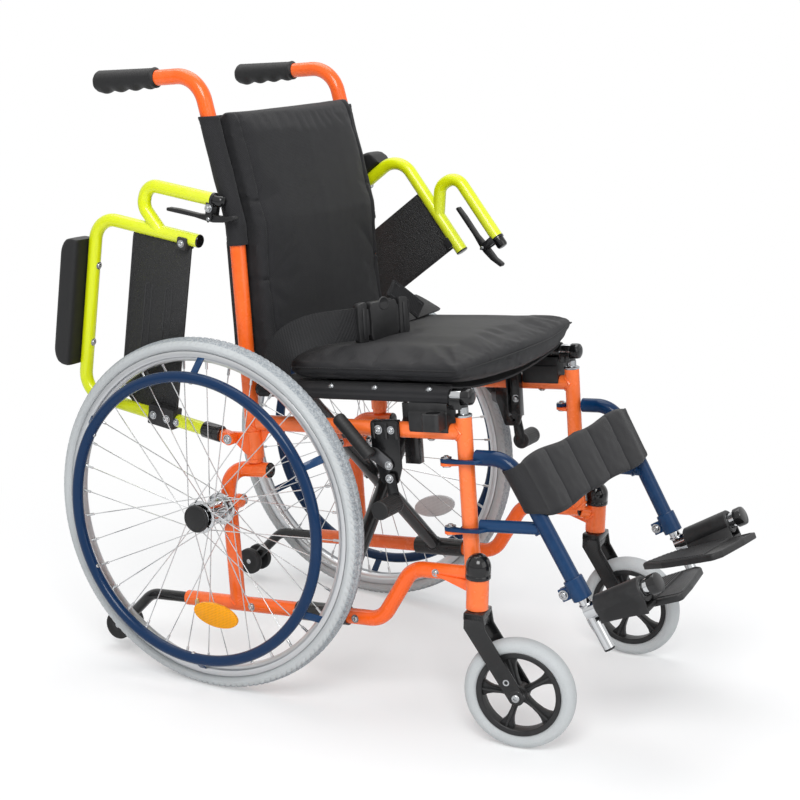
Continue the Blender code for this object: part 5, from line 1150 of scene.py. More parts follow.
def armrest(side):
    sign = sides[side]
    k = arm
    x = cane["armPlane"] * sign
    lean = k["lean"][side]
    body = f"armrest_{side}"

    def at(ahead, height, where=x):
        along = cane["armAlong"] + ahead * cos(lean) - height * sin(lean)
        return tilted(where, along, cane["armUp"] + ahead * sin(lean) + height * cos(lean))

    aheadWay = (at(1, 0) - at(0, 0)).normalized()
    upWay = (at(0, 1) - at(0, 0)).normalized()
    axes = (across, aheadWay, upWay)
    out = across * sign
    r, rearLeg, frontLeg, branchLeg = k["radius"], k["rearLeg"], k["frontLeg"], k["branchLeg"]
    latchAlong, pivot, top = k["latchAlong"], k["latchPivot"], k["top"]
    tongueX = (cane["lugPlane"] + 0.0147 / 2) * sign
    tongue = arc(at(0, 0, tongueX), aheadWay * 0.009, upWay * 0.009, pi, pi, 16)
    tongue += [at(rearLeg + off, 0.020, tongueX) for off in (0.007, -0.007)]
    lime = [sweep([at(rearLeg, 0.014), at(rearLeg, top), at(frontLeg, top), at(frontLeg, k[
        "frontEnd"])], r, k["bend"], 28, 14), sweep([at(frontLeg, k["leaves"]), at(frontLeg + 0.030,
        k["branchTop"]), at(branchLeg, k["branchTop"] - 0.004), at(branchLeg, k["branchEnd"])], r,
        0.020, 28, 8)]
    piece(f"armrest tongue {side}", [plate(tongue, 0.0144, across, 0.0012)], "orangePaint", body)
    ears = [plate([at(ahead, pivot + off, x + way * 0.0080) for ahead, off in ((branchLeg - 0.004,
        0.006), (latchAlong, 0.005), (latchAlong - 0.005, 0), (latchAlong, -0.005), (branchLeg
        - 0.004, -0.006))], 0.0030, across, 0.0005) for way in (-1, 1)]
    piece(f"armrest {side}", lime, "limePaint", body, [f"armrest_frame_{side}"])
    piece(f"latch ears {side}", ears, "blackPaint", body)
    cuff = mm((6, 0), (11.4, 0.2), (11.9, 1), (11.9, 29), (11.2, 30), (6, 30.2))
    tip = [(0.0035, 0), (r + 0.0002, 0), (r + 0.0006, 0.0010), (r + 0.0006, 0.0040)]
    tip += mm((8.5, 4.6), (8.4, 15), (7, 17.6), (3.5, 18.5))
    dark = [plug(at(frontLeg, k["frontEnd"]), -upWay, r), lathe(cuff, at(rearLeg, 0.0135), upWay,
        36, True), lathe(tip, at(branchLeg, k["branchEnd"] + 0.003), -upWay, 36)]
    piece(f"armrest plugs {side}", dark, "glossPlastic", body)
    tubeSide = x + (r - 0.0004) * sign
    screw(body, at(rearLeg, 0.088, tubeSide), out, 0.0042, 0.0022)
    screw(body, at(rearLeg, 0.2235, tubeSide), out, 0.0040, 0.0020)
    spring = at((branchLeg + latchAlong) / 2 + 0.002, pivot + 0.0005) + out * 0.0095
    fix(body, nutOn(spring, out, 0.0050, 0.0034))
    fix(body, [rod(at(latchAlong, pivot, x - 0.0102), at(latchAlong, pivot, x + 0.0102), 0.0026,
        16)])
    # The pad: a firm moulding with a seam, a hollow under it and soft ends
    rings = []
    padX = x + k["padOffset"] * sign
    for i in range(73):
        share = i / 72
        full = 0.50 + 0.50 * softEdge(share, 0.13)
        wide = k["padWidth"] / 2 * (0.78 + 0.22 * full)
        high = k["padHeight"] * full
        ring = []
        for c, s in circle(40, 0.5):
            sideways = wide * copysign(abs(c) ** 0.45, c)
            rise = high * (0.5 + 0.5 * copysign(abs(s) ** 0.5, s))
            sideways -= copysign(bumpOn(rise / high, 0.34, 0.035) * 0.0008, sideways)
            ring.append(at(k["padRear"] + k["padLength"] * share, top + 0.0092 + rise, padX)
                + across * sideways)
        rings.append(ring)
    piece(f"arm pad {side}", [loft(rings)], "blackRubber", body, [f"arm_pad_{side}"], 60)
    for ahead in (0.035, 0.150):
        screw(body, at(k["padRear"] + ahead, top - r + 0.0004), -upWay, 0.0040, 0.0020)
    guard(side, at, axes, out, body)
    latch(side, at)


def softEdge(share, corner):
    near = min(share, 1 - share) / corner
    return 1.0 if near >= 1 else sqrt(max(0.0, 1 - (1 - near) ** 2))


def guard(side, at, axes, out, body):
    # The clothes guard: a speckled panel with a raised rim, two embossed slots and its clamps.
    k = arm
    upWay = axes[2]
    front = k["frontLeg"] - 0.005
    rear = k["rearLeg"] + 0.004
    low, high = k["guardLow"], k["guardHigh"]
    panel = roundedPath([at(rear, low), at(front, low), at(front, high), at(rear + 0.020, high), at(
        rear, high - 0.030)], 0.008, 6, True)
    piece(f"guard {side}", [plate(panel, 0.0030, across, 0.0006)], "guardPlastic", body, [
        f"skirt_guard_{side}"])
    centre = sum(panel, Vector()) / len(panel)
    inset = [p + (centre - p).normalized() * 0.0030 for p in panel]
    trim = [sweep(inset, 0.0011, steps=8, bend=0, closed=True)]
    for up in (0.125, 0.160):
        slot = [at(rear + 0.075, up), at(rear + 0.185, up)]
        rim = roundedPath([slot[n] + upWay * off for n, off in ((0, 0.0055), (1, 0.0055), (1,
            -0.0055), (0, -0.0055))], 0.0052, 6, True)
        trim.append(sweep(rim, 0.0012, steps=8, bend=0, closed=True))
    trim = [([point + out * 0.0010 for point in points], faces) for points, faces in trim]
    piece(f"guard rim {side}", trim, "blackPlastic", body)
    shift = out * 0.0022
    wide = 2 * k["radius"] + 0.0028
    clampAt = at(k["rearLeg"] + 0.0025, low + 0.020) + shift
    clipAt = at(k["frontLeg"] - 0.0065, low + 0.010) + shift
    clamps = [block(clampAt, (wide, 0.030, 0.045), axes, 0.0022), block(clampAt + out * (wide / 2
        - 0.0004), (0.0024, 0.020, 0.036), axes, 0.0010), block(clipAt, (wide, 0.017, 0.016), axes,
        0.0018)]
    piece(f"guard clamps {side}", clamps, "blackPlastic", body)
    for up in (-0.0120, 0.0120):
        screw(body, clampAt + out * (wide / 2 + 0.0006) + upWay * up, out, 0.0044, 0.0022)
    screw(body, clipAt + out * (wide / 2 - 0.0002), out, 0.0040, 0.0020)


def latch(side, at):
    k = arm
    a, p = k["latchAlong"], k["latchPivot"]
    high, low = k["latchHigh"], k["latchLow"]
    pairs = [(-0.0030, high), (0.0018, high + 0.0002), (0.0030, 0.120), (0.0028, 0.085), (0.0050, p
        + 0.006), (0.0060, p - 0.006), (0.0070, 0.040), (0.0112, low + 0.0012), (0.0100, low
        - 0.0010), (0.0060, low - 0.0020), (-0.0010, 0.042), (-0.0040, p - 0.006), (-0.0040, p
        + 0.006), (-0.0026, 0.090)]
    outline = roundedPath([at(a + ahead, height) for ahead, height in pairs], 0.0016, 3, True)
    piece(f"latch {side}", [plate(outline, k["latchWidth"] - 0.0006, across, 0.0010)],
        "blackPlastic", f"latch_{side}", [f"armrest_latch_{side}"])


for side in sides:
    armrest(side)
print("armrests: made")

# Push-to-lock brakes

brakeSizes = {"rear": 0.255, "front": 0.299, "lever": (0.2821, 0.0773), "shoe": (0.2839, 0.0601),
    "gripStart": (0.2583, 0.0907), "gripEnd": (0.2149, 0.1393), "shoeCentre": (0.2891, 0.0264),
    "gripPlane": 0.2025, "rollerPlane": 0.1952}


def brake(side):
    sign = sides[side]
    k = brakeSizes
    body, leverBody, shoeBody = bodies[side], f"brake_lever_{side}", f"brake_shoe_{side}"
    out = across * sign
    face = sidePlane + tubeRadius + gap
    leverFace = face + 0.004 + gap
    shoeFace = leverFace + 0.003 + gap
    lx, ly = k["lever"]
    sx, sy = k["shoe"]
    top = topUp + tubeRadius + gap
    rear, front = k["rear"], k["front"]
    outline = sideOutline((face + 0.002) * sign, ((rear, top + 0.003), (front, top + 0.003), (front,
        ly - 0.004), (sx + 0.008, sy - 0.009), (sx - 0.016, sy - 0.009), (rear, ly + 0.014)), 0.005,
        6)
    middle = (rear + front) / 2
    solids = [plate(outline, 0.0040, across, 0.0008), block(tilted((sidePlane + face + 0.008) / 2
        * sign, middle, top + 0.0015), (face - sidePlane, front - rear - 0.006, 0.003),
        edge=0.0008)]
    # Raised ribs leave slots over the tube
    for along in (rear + 0.005, middle + 0.002, front - 0.004):
        solids.append(block(tilted((face + 0.0046) * sign, along, topUp), (0.0018, 0.0050, 0.022),
            edge=0.0007))
    piece(f"brake bracket {side}", solids, "blackPaint", body, [f"brake_mount_{side}"])
    for along, size, height in ((rear + 0.0125, 0.0046, 0.0026), (front - 0.0120, 0.0040, 0.0022)):
        screw(body, tilted((face + 0.0040) * sign, along, topUp + 0.0015), out, size, height)
    for along, up, end in ((lx, ly, shoeFace - 0.0003), (sx, sy, shoeFace + 0.0033)):
        tip = tilted(end * sign, along, up)
        fix(body, [rod(tilted(face * sign, along, up), tip, 0.0029, 16)])
        screw(body, tip, out, 0.0044, 0.0022)
    gx, gy = k["gripStart"]
    bar = sideOutline((leverFace + 0.0015) * sign, ((lx + 0.007, ly - 0.001), (lx + 0.003, ly
        + 0.008), (gx + 0.006, gy + 0.010), (gx - 0.014, gy + 0.012), (gx - 0.012, gy - 0.002), (lx
        - 0.004, ly - 0.007)), 0.0028)
    piece(f"brake lever {side}", [plate(bar, 0.0030, across, 0.0006)], "darkSteel", leverBody, [
        leverBody])
    pull = tilted(0, *k["gripEnd"]) - tilted(0, gx, gy)
    reach = pull.length
    profile = mm((4, -0.6), (8.6, -0.6), (9.5, 0.6), (9.5, 3))
    for i in range(13):
        base = 0.0046 + (reach - 0.0080) * i / 13
        profile += [(0.0092, base), (0.0094, base + 0.0008), (0.0094, base + 0.0030)]
    profile += [(0.0094, reach), (0.0090, reach + 0.0028), (0.0072, reach + 0.0056), (0.0040, reach
        + 0.0072), (0.0010, reach + 0.0075)]
    piece(f"brake grip {side}", [lathe(profile, tilted(k["gripPlane"] * sign, gx, gy), pull, 40)],
        "blackRubber", leverBody, sharp=60)
    cx, cy = k["shoeCentre"]
    armPlate = sideOutline((shoeFace + 0.0015) * sign, ((sx + 0.007, sy + 0.007), (sx - 0.007, sy
        + 0.007), (cx - 0.009, cy), (cx - 0.004, cy - 0.009), (cx + 0.006, cy - 0.009), (cx + 0.009,
        cy)), 0.004)
    piece(f"brake arm {side}", [plate(armPlate, 0.0030, across, 0.0006)], "blackPaint", shoeBody, [
        shoeBody])

    def knurl(turn, radius, distance):
        if 0.004 < distance < 0.0398 and radius > 0.010:
            return radius - 0.0007 * (0.5 + 0.5 * cos(turn * 26)), distance
        return radius, distance

    rows = mm((4, 0), (12, 0), (12.8, 0.8), (12.8, 4))
    rows += [(0.0128, 0.0046 + i * 0.0032) for i in range(12)]
    rows += mm((12.8, 43), (12.1, 43.8), (9.4, 44), (1, 44))
    roller = lathe(rows, tilted(k["rollerPlane"] * sign, cx, cy), out, 208, shape=knurl)
    piece(f"brake roller {side}", [roller], "blackPlastic", shoeBody, sharp=50)


for side in sides:
    brake(side)
print("brakes: made")

# Swing-away footrests

rest = {"radius": 0.0105, "start": 0.4055, "topUp": 0.0905, "corner": 0.4531, "rake": radians(26.4),
    "footUp": -0.087, "footPlane": 0.1663, "lowUp": -0.002, "lowRadius": 0.0085, "bend": 0.040,
    "collarSpan": 0.030, "ear": 0.026, "slider": 0.0078, "sliderInside": 0.105,
    "sliderBelow": 0.082, "tube": 0.011, "tubeDrop": 0.024, "tubeLength": 0.107, "cover": 0.017,
    "coverStart": 0.016, "coverLength": 0.072, "thick": 0.007, "plateLevel": radians(9),
    "ribPitch": 0.0044}


def rakePoint(x, distance):
    return tilted(x, rest["corner"] + sin(rest["rake"]) * distance, rest["topUp"] - cos(rest[
        "rake"]) * distance)


def hangerLug(sign, lugUp):
    k = sideTube
    pinX, along, radius = k["pinPlane"], k["pinAlong"], k["lugRadius"]
    outer = sidePlane + tubeRadius + gap
    start = rest["start"]
    pairs = []
    for step in range(11):
        turn = radians(180 + 18 * step)
        pairs.append((pinX + radius * cos(turn), along + radius * sin(turn)))
    pairs += [(pinX + radius * 1.1, along + 0.006), (outer + 0.009, postAlong), (outer + 0.007,
        start + 0.006), (sidePlane + 0.004, start + 0.016), (sidePlane - 0.004, start + 0.016), (
        sidePlane - 0.004, start - 0.001), (sidePlane + tubeRadius * 0.5, start - 0.001), (outer
        + 0.0012, postAlong + 0.006), (outer + 0.0010, postAlong - 0.008), (pinX - 0.001, along
        + radius)]
    return plate([tilted(x * sign, at, lugUp) for x, at in pairs], 0.005, upward, 0.0008)


def squareTo(way, axis):
    # The way, turned square to the axis.
    return (way - axis * way.dot(axis)).normalized()


def footrest(side):
    sign = sides[side]
    k = rest
    body = f"hanger_{side}"
    topX, footX = sidePlane * sign, k["footPlane"] * sign
    foot = rakePoint(footX, (k["topUp"] - k["footUp"]) / cos(k["rake"]))
    corner = rakePoint(topX, 0)
    down = (foot - corner).normalized()
    lowJoin = rakePoint(footX, (k["topUp"] - k["lowUp"]) / cos(k["rake"]))
    lowStart = tilted(topX, k["start"], k["lowUp"])
    navy = [sweep([tilted(topX, k["start"], k["topUp"]), corner, foot], k["radius"], k["bend"], 30,
        16), sweep([lowStart, lowJoin], k["lowRadius"], steps=26), weldRing(lowJoin, lowStart
        - lowJoin, down, k["lowRadius"], k["radius"])]
    navy += [hangerLug(sign, up + 0.0045 + gap) for up in sideTube["tabUps"]]
    span = k["collarSpan"]
    navy.append(lathe([(0.009, 0), (0.0125, 0), (0.0135, 0.0010), (0.0135, span - 0.0010), (0.0125,
        span), (0.009, span)], foot - down * (span - 0.006), down, 40))
    earWay = squareTo(-forward, down)
    earSide = down.cross(earWay)
    earRoot = foot - down * (span / 2 - 0.006)
    for way in (-1, 1):
        navy.append(block(earRoot + earWay * k["ear"] / 2 + earSide * way * 0.0038, (0.0040, k[
            "ear"], 0.0176), (earSide, earWay, down), 0.0009))
    piece(f"hanger {side}", navy, "navyPaint", body, [f"footrest_hanger_{side}"])
    bolt = earRoot + earWay * (k["ear"] - 0.0055)
    fix(body, [rod(bolt - earSide * 0.008, bolt + earSide * 0.008, 0.0030, 16)])
    fix(body, nutOn(bolt + earSide * 0.0058, earSide, 0.0055, 0.0040))
    screw(body, bolt - earSide * 0.0058, -earSide, 0.0050, 0.0030)
    washer = mm((4.4, 0), (7, 0), (7.4, 0.5), (7.4, 1.4), (4.4, 1.5))
    for up in sideTube["tabUps"]:
        ear = tilted(sideTube["pinPlane"] * sign, sideTube["pinAlong"], up + 0.0074)
        fix(body, [lathe(washer, ear, upward, 28)])
    # The sliding tube, its foot tube and the round plug at the toe
    slide = f"extension_{side}"
    sliderEnd = foot + down * k["sliderBelow"] - down * 0.0035
    footStart = foot + down * k["tubeDrop"]
    toe = squareTo(forward, down)
    toeEnd = footStart + toe * k["tubeLength"]
    chrome = [rod(foot - down * k["sliderInside"], sliderEnd, k["slider"], 32), sweep([footStart
        - toe * 0.004, toeEnd - toe * 0.002], k["tube"], steps=36), weldRing(footStart, -down, toe,
        k["slider"], k["tube"])]
    piece(f"extension {side}", chrome, "brightChrome", slide, [f"footrest_extension_{side}"])
    toePlug = mm((10, -9.5), (13, -9.5), (13.8, -8.6), (13.8, 1), (13, 2.8), (9.2, 3.8), (1, 4))
    piece(f"extension plugs {side}", [lathe(toePlug, toeEnd, toe, 40), plug(sliderEnd, down, k[
        "slider"])], "glossPlastic", slide)
    footplate(side, sign, footStart, toe, down)


def footplate(side, sign, footStart, toe, down):
    # A moulded tread on a split sleeve: ribs, a raised rim, webs underneath.
    k = rest
    body = f"footplate_{side}"
    inboard = squareTo(-across * sign, down)
    level = toe.cross(inboard).normalized()
    if level.z < 0:
        level = -level
    thick, cover, length, coverStart = k["thick"], k["cover"], k["coverLength"], k["coverStart"]
    flatToe = spun(across, k["plateLevel"], toe)
    flatUp = spun(across, k["plateLevel"], level)

    def at(d, f, h=0.0):
        return footStart + inboard * d + toe * f + level * (h - cover + thick / 2)

    def onPlate(d, f, h=0.0):
        # The tread lies flatter than its sleeve
        return at(d, coverStart) + flatToe * (f - coverStart) + flatUp * h

    rim = mm((12.8, 1.5), (30, -16), (66, -38), (100, 8), (124, 60), (138, 100), (128, 112), (60,
        120), (13.5, 122.5))
    outline = roundedPath([onPlate(d, f, -0.0016) for d, f in rim], 0.007, 6, True)
    lane = [onPlate(d, coverStart + f) for d, f in ((-0.0150, 0.001), (0.0150, 0.001), (0.0150,
        length - 0.001), (-0.0150, length - 0.001))]
    # The sleeve is a thick round cover, flared where it meets the tread
    bore = k["tube"] + 0.0004
    sleeve = [(bore, 0.0004), (bore, length - 0.0004), (bore + 0.0010, length), (cover - 0.0016,
        length), (cover, length - 0.0018), (cover, length * 0.5), (cover, 0.0018), (cover - 0.0016,
        0), (bore + 0.0010, 0)]
    skirt = []
    for share in (0.0, 0.25, 0.5, 0.75, 1.0):
        f = coverStart + 0.0012 + (length - 0.0024) * share
        low = onPlate(-0.0185, f, -0.0035 - 0.0012 * (2 * share - 1) ** 2)
        skirt.append([at(-0.0166, f, 0.0135), at(-0.0174, f, 0.0010), low, low + inboard * 0.0030,
            at(-0.0130, f, 0.0010), at(-0.0110, f, 0.0100)])
    web = []
    for f in (coverStart + 0.0012, coverStart + length - 0.0012):
        web.append([at(0.0130, f, 0.0090), at(0.0162, f, 0.0080), onPlate(0.0192, f, 0.0034),
            onPlate(0.0215, f, 0.0010), onPlate(0.0130, f, 0.0010)])
    solids = [plate(outline, thick + 0.0016, flatUp, 0.0012), plate(lane, thick - 0.0010, flatUp,
        0.0010), lathe(sleeve, footStart + toe * coverStart, toe, 48, True), easedEdges(loft(skirt),
        0.0007, sharp=50), easedEdges(loft(web), 0.0006)]
    piece(f"footplate {side}", solids, "blackPlastic", body, [body])
    # Ribs across the top, each cut to the plate's outline; the toe end stays smooth
    flat = mm((23.5, 0), (32, -10.5), (65.5, -31), (96, 11.5), (119.5, 62), (129, 89), (23.5, 89))
    pitch = k["ribPitch"]
    high = thick / 2 - 0.0008
    ribs = []
    row = min(f for d, f in flat) + pitch
    while row < max(f for d, f in flat) - pitch * 0.5:
        hits = []
        for i, (d, f) in enumerate(flat):
            nextD, nextF = flat[(i + 1) % len(flat)]
            if (f - row) * (nextF - row) < 0:
                hits.append(d + (nextD - d) * (f - row) / (f - nextF))
        if len(hits) == 2 and abs(hits[0] - hits[1]) > 0.006:
            rib = []
            for d in sorted(hits):
                spot = onPlate(d, row, high)
                square = (onPlate(d, row + 1, high) - spot).normalized()
                rib.append([spot + square * wide + flatUp * tall for wide, tall in mm((-1.3, -0.6),
                    (-0.9, 2.1), (0.9, 2.1), (1.3, -0.6))])
            ribs.append(loft(rib))
        row += pitch
    # The ribs get a lighter black than the plate they are moulded with: a painted highlight.
    piece(f"tread ribs {side}", ribs, "litRibPlastic", body)
    border = [onPlate(d, f, thick / 2 - 0.0006) for d, f in mm((21.5, -1), (30.5, -13.2), (65.8,
        -34.8), (98, 9.8), (121.8, 61.1), (135.5, 100.3), (127, 110.4), (60, 118.2), (21.5, 120.5))]
    piece(f"tread rim {side}", [sweep(roundedPath(border, 0.006, 5, True), 0.0012, bend=0, steps=8,
        closed=True)], "blackPlastic", body)


for side in sides:
    footrest(side)
print("footrests: made")

# Anti-tip tubes and their twin rollers

antiTipSizes = {"corner": -0.158, "hub": (-0.2158, -0.1985), "radius": 0.008}


def antiTip(side):
    x = sidePlane * sides[side]
    k = antiTipSizes
    body = f"anti_tip_{side}"
    hub = tilted(x, *k["hub"])
    tube = [tilted(x, sideTube["lowRear"] + 0.045, lowUp), tilted(x, k["corner"], lowUp), hub]
    solids = [sweep(tube, k["radius"], plan["bend"], 26, 14), rod(hub - across * 0.0078, hub
        + across * 0.0078, k["radius"], 28)]
    piece(f"anti-tip tube {side}", solids, "blackPaint", bodies[side], [f"anti_tip_tube_{side}"])
    roller = mm((3.5, 9.2), (12, 9.6), (16, 10.4), (19, 9.4), (21.2, 9.8), (22, 11.2), (22, 17), (
        21.2, 18.6), (19, 19.1), (17.2, 18), (12, 17.2), (9, 17.8), (6, 18.8), (3.5, 18.8))
    discs = [lathe(roller, hub, across * way, 56) for way in (-1, 1)]
    piece(f"anti-tip wheel {side}", discs, "blackRubber", body, [f"anti_tip_wheel_{side}"], 50)
    fix(body, [rod(hub - across * 0.0196, hub + across * 0.0196, 0.0028, 16)])
    for way in (-1, 1):
        screw(body, hub + across * way * 0.0162, across * way, 0.0046, 0.0024)


for side in sides:
    antiTip(side)
print("anti-tip wheels: made")

# Soft pieces: slings, cushions, calf strap and belt

def applied(item):
    # The item's mesh with its modifiers in it.
    shown = item.evaluated_get(bpy.context.evaluated_depsgraph_get())
    mesh = bpy.data.meshes.new_from_object(shown)
    item.modifiers.clear()
    old = item.data
    item.data = mesh
    bpy.data.meshes.remove(old)


clothSizes = {"quality": 6, "mass": 0.25, "tension_stiffness": 18, "compression_stiffness": 14,
    "shear_stiffness": 6, "bending_stiffness": 0.35, "use_pressure": True,
    "vertex_group_mass": "held"}


def inflated(solid, held, spare, cap, grid, floor, pressed):
    # A cushion's cover swells and creases between its seams in a short cloth simulation.
    item = placed("cover", meshOf("cover", [solid]))
    remesh = item.modifiers.new("grid", "REMESH")
    remesh.mode = "VOXEL"
    remesh.voxel_size = grid
    applied(item)
    starts = [v.co.copy() for v in item.data.vertices]
    group = item.vertex_groups.new(name="held")
    for i, place in enumerate(starts):
        weight = held(*local(place))
        if weight > 0:
            group.add([i], weight, "REPLACE")
    cloth = item.modifiers.new("cloth", "CLOTH")
    for key, value in clothSizes.items():
        setattr(cloth.settings, key, value)
    cloth.settings.uniform_pressure_force = 3.0
    cloth.settings.shrink_min = -spare
    cloth.settings.effector_weights.gravity = 0
    cloth.point_cache.frame_start = 1
    cloth.point_cache.frame_end = 20
    scene = bpy.context.scene
    for frameNumber in range(1, 21):
        scene.frame_set(frameNumber)
    applied(item)
    scene.frame_set(1)
    for vertex, start in zip(item.data.vertices, starts):
        move = vertex.co - start
        if move.length > cap:
            vertex.co = start + move.normalized() * cap
        if floor:
            vertex.co = floor(*local(vertex.co))
    smooth = item.modifiers.new("smooth", "SUBSURF")
    smooth.levels = smooth.render_levels = 1
    applied(item)
    points = [pressed(*local(v.co)) for v in item.data.vertices]
    faces = [tuple(face.vertices) for face in item.data.polygons]
    bpy.data.objects.remove(item)
    return points, faces


def local(place):
    # Sideways, forward along the side tubes and square to them, from the axle.
    off = place - onAxle(0)
    return off.x, off.dot(forward), off.dot(upward)


def folds(item):
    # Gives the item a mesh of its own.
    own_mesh(item)
    return item


def gentle(x, y, z):
    return noise.noise(Vector((x, y, z)))


sling = {"rear": 0.075, "front": 0.374, "sag": 0.008, "wrap": radians(122), "screws": (0.124, 0.193,
    0.262, 0.345), "screwTurn": radians(56)}


def seatSling():
    inner = plan["railRadius"] + gap
    outer = inner + plan["cloth"]
    half = sidePlane - 0.001
    rear, front = sling["rear"], sling["front"]
    rings = []
    for i in range(61):
        share = i / 60
        along = rear + (front - rear) * share
        top, bottom = [], []
        for j in range(49):
            s = j / 48
            x = half * (1 - 2 * s)
            pucker = 0.0008 * gentle(x * 22, along * 40, 3.0) * sin(pi * s)
            edge = 0.010 * ease((share - 0.86) / 0.14) * sin(pi * s) ** 0.7
            up = railUp + outer - sling["sag"] * sin(pi * s) - edge + pucker
            top.append(tilted(x, along, up))
            bottom.insert(0, tilted(x, along, up - plan["cloth"]))
        rings.append(top + bottom)
    item = piece("seat sling", [loft(rings)], "blackCloth", "seat", ["seat_sling"], 60)
    folds(item)
    for side in sides:
        hem(side, inner, outer)


def hem(side, inner, outer):
    # The sling's edge is wrapped over its rail and screwed down.
    sign = sides[side]
    rear, front = sling["rear"], sling["front"]
    body = "brace_left" if side == "right" else "brace_right"
    shares = [j / 22 for j in range(23)]
    rings = []
    for i in range(81):
        along = rear + (front - rear) * i / 80
        near = min(abs(along - a) for a in sling["screws"])
        dimple = 0.0010 * bumpOn(near, 0, 0.012)
        wave = 0.0007 * gentle(along * 55, sign * 3.0, 1.0)
        outside = [outer + wave + 0.0012 * bumpOn(share, 0.93, 0.10) - dimple * bumpOn(share, 0.30,
            0.25) - 0.0016 * bumpOn(share, 0.60, 0.16) for share in shares]
        rows = list(zip(shares, outside)) + [(share, inner) for share in shares[::-1]]
        turns = [(pi / 2 - sling["wrap"] * share * 1.06, r) for share, r in rows]
        rings.append([tilted((sidePlane + r * cos(turn)) * sign, along, railUp + r * sin(turn))
            for turn, r in turns])
    piece(f"hem {side}", [loft(rings)], "blackCloth", body, sharp=60)
    out = across * sign * cos(sling["screwTurn"]) + upward * sin(sling["screwTurn"])
    for along in sling["screws"]:
        screw(body, tilted(sidePlane * sign, along, railUp) + out * (outer - 0.0009), out, 0.0036,
            0.0018)
    seam = [tilted((sidePlane - 0.010) * sign, along, railUp + outer + 0.0001) for along in (rear
        + 0.004, front - 0.004)]
    folds(piece(f"sling seam {side}", [sweep(seam, 0.0006, steps=6)], "thread", "seat"))


seat = {"half": 0.186, "rear": 0.118, "front": 0.402, "thick": 0.041, "crown": 0.008,
    "curl": 0.0085}


def seatCushion():
    k = seat
    halfWidth, thick, rear, front = k["half"], k["thick"], k["rear"], k["front"]
    base = railUp + plan["hemRadius"] + gap
    railInside = sidePlane - 0.0155
    wallUp = 0.50 * thick

    def bow(x, share):
        # The front edge bows forward between its two pointed corners.
        return -0.011 * (x / halfWidth) ** 2 * ease((share - 0.6) / 0.4)

    def curl(x, share):
        # The far front corner curls up.
        return k["curl"] * ease((x / halfWidth - 0.45) / 0.55) * ease((share - 0.70) / 0.30)

    rings = []
    count = 90
    for i in range(count + 1):
        share = i / count
        heel = 1 - softEdge(share, 0.15) if share < 0.5 else 0.0
        tip = 1 - softEdge(share, 0.10) if share >= 0.5 else 0.0
        along = rear + 0.002 + (front - rear - 0.003) * share
        half = halfWidth - 0.003 - 0.012 * heel
        low = wallUp * (0.72 * tip + 0.5 * heel)
        high = (thick - 0.003) - (thick - wallUp) * (0.78 * tip + 0.5 * heel)
        ring = []
        for c, s in circle(140):
            x = half * copysign(abs(c) ** 0.26, c)
            level = copysign(abs(s) ** 0.55, s)
            crown = k["crown"] * (1 - (x / halfWidth) ** 2)
            drift = gentle(x * 5, along * 7, 0.5)
            ripple = 0.0013 * sin(x * 95 + 2.4 * drift + along * 9)
            ripple *= (1 - (x / halfWidth) ** 6) * ease((1 - share) / 0.12)
            corner = hypot(abs(x) - halfWidth, along - front)
            fan = atan2(front - along, halfWidth - abs(x) + 0.001)
            pucker = 0.0016 * sin(fan * 13) * bumpOn(corner / 0.075, 0.45, 0.55)
            if level > 0:
                up = wallUp + (high - wallUp) * level + crown * level * (1 - tip)
                up += (ripple + pucker) * level
            else:
                sag = sling["sag"] * max(0.0, cos(pi / 2 * x / sidePlane))
                up = wallUp + (wallUp - low) * level - sag * level ** 2 + 0.0008
                if along > sling["front"] and abs(x) < railInside:
                    up -= 0.006 * tip * cos(pi / 2 * x / railInside)
            groove = 0.0022 * bumpOn(up / thick, 0.50, 0.10)
            groove += 0.0012 * bumpOn(up / thick, 0.26, 0.06)
            if abs(c) > 0.2:
                x -= copysign(groove * (1 - tip), x)
            if abs(x) > railInside - 0.006:
                up = max(up, 0.0008)
            ring.append(tilted(x, along + bow(x, share), base + up))
        rings.append(ring)

    def held(x, along, up):
        along -= bow(x, (along - rear) / (front - rear))
        ends = min(along - rear, front - along)
        edge = abs(x) > halfWidth - 0.014 or ends < 0.012
        if edge and abs(up - base - wallUp) < 0.0030:
            return 1.0
        if up < base + 0.004:
            return 0.8
        return 1.0 if ends < 0.004 else 0.0

    def settled(x, along, up):
        low = base + 0.0006 if abs(x) > railInside - 0.010 else -1
        return tilted(x, along, max(up, low))

    def pressed(x, along, up):
        # The wall's second seam
        share = (along - rear) / (front - rear)
        lift = curl(x, share)
        if abs(x) > halfWidth - 0.016 and share < 0.96:
            x -= copysign(0.0015 * bumpOn(up - base, 0.27 * thick, 0.0035), x)
        return tilted(x, along, up + lift * min(1.0, (up - base) / 0.012))

    solid = inflated(loft(rings), held, 0.012, 0.0045, 0.0050, settled, pressed)
    folds(piece("seat cushion", [solid], "blackCloth", "seat", ["seat_cushion"], 60))
    # A corded seam runs round the middle of the wall and along the front's edge
    path = []
    wall = halfWidth - 0.0042
    loop = [(wall, rear + 0.016), (wall, front - 0.006), (-wall, front - 0.006), (-wall, rear
        + 0.016), (-wall + 0.014, rear + 0.003), (wall - 0.014, rear + 0.003)]
    for n, (x, along) in enumerate(loop):
        nextX, nextAlong = loop[(n + 1) % len(loop)]
        for step in range(24):
            px = x + (nextX - x) * step / 24
            pa = along + (nextAlong - along) * step / 24
            share = (pa - rear) / (front - rear)
            ahead = bow(px, share) + (0.0045 if n == 1 else 0)
            path.append(tilted(px, pa + ahead, base + wallUp + curl(px, share)))
    folds(piece("seat welt", [sweep(path, 0.0012, bend=0.0, steps=8, closed=True)], "webbing",
        "seat"))


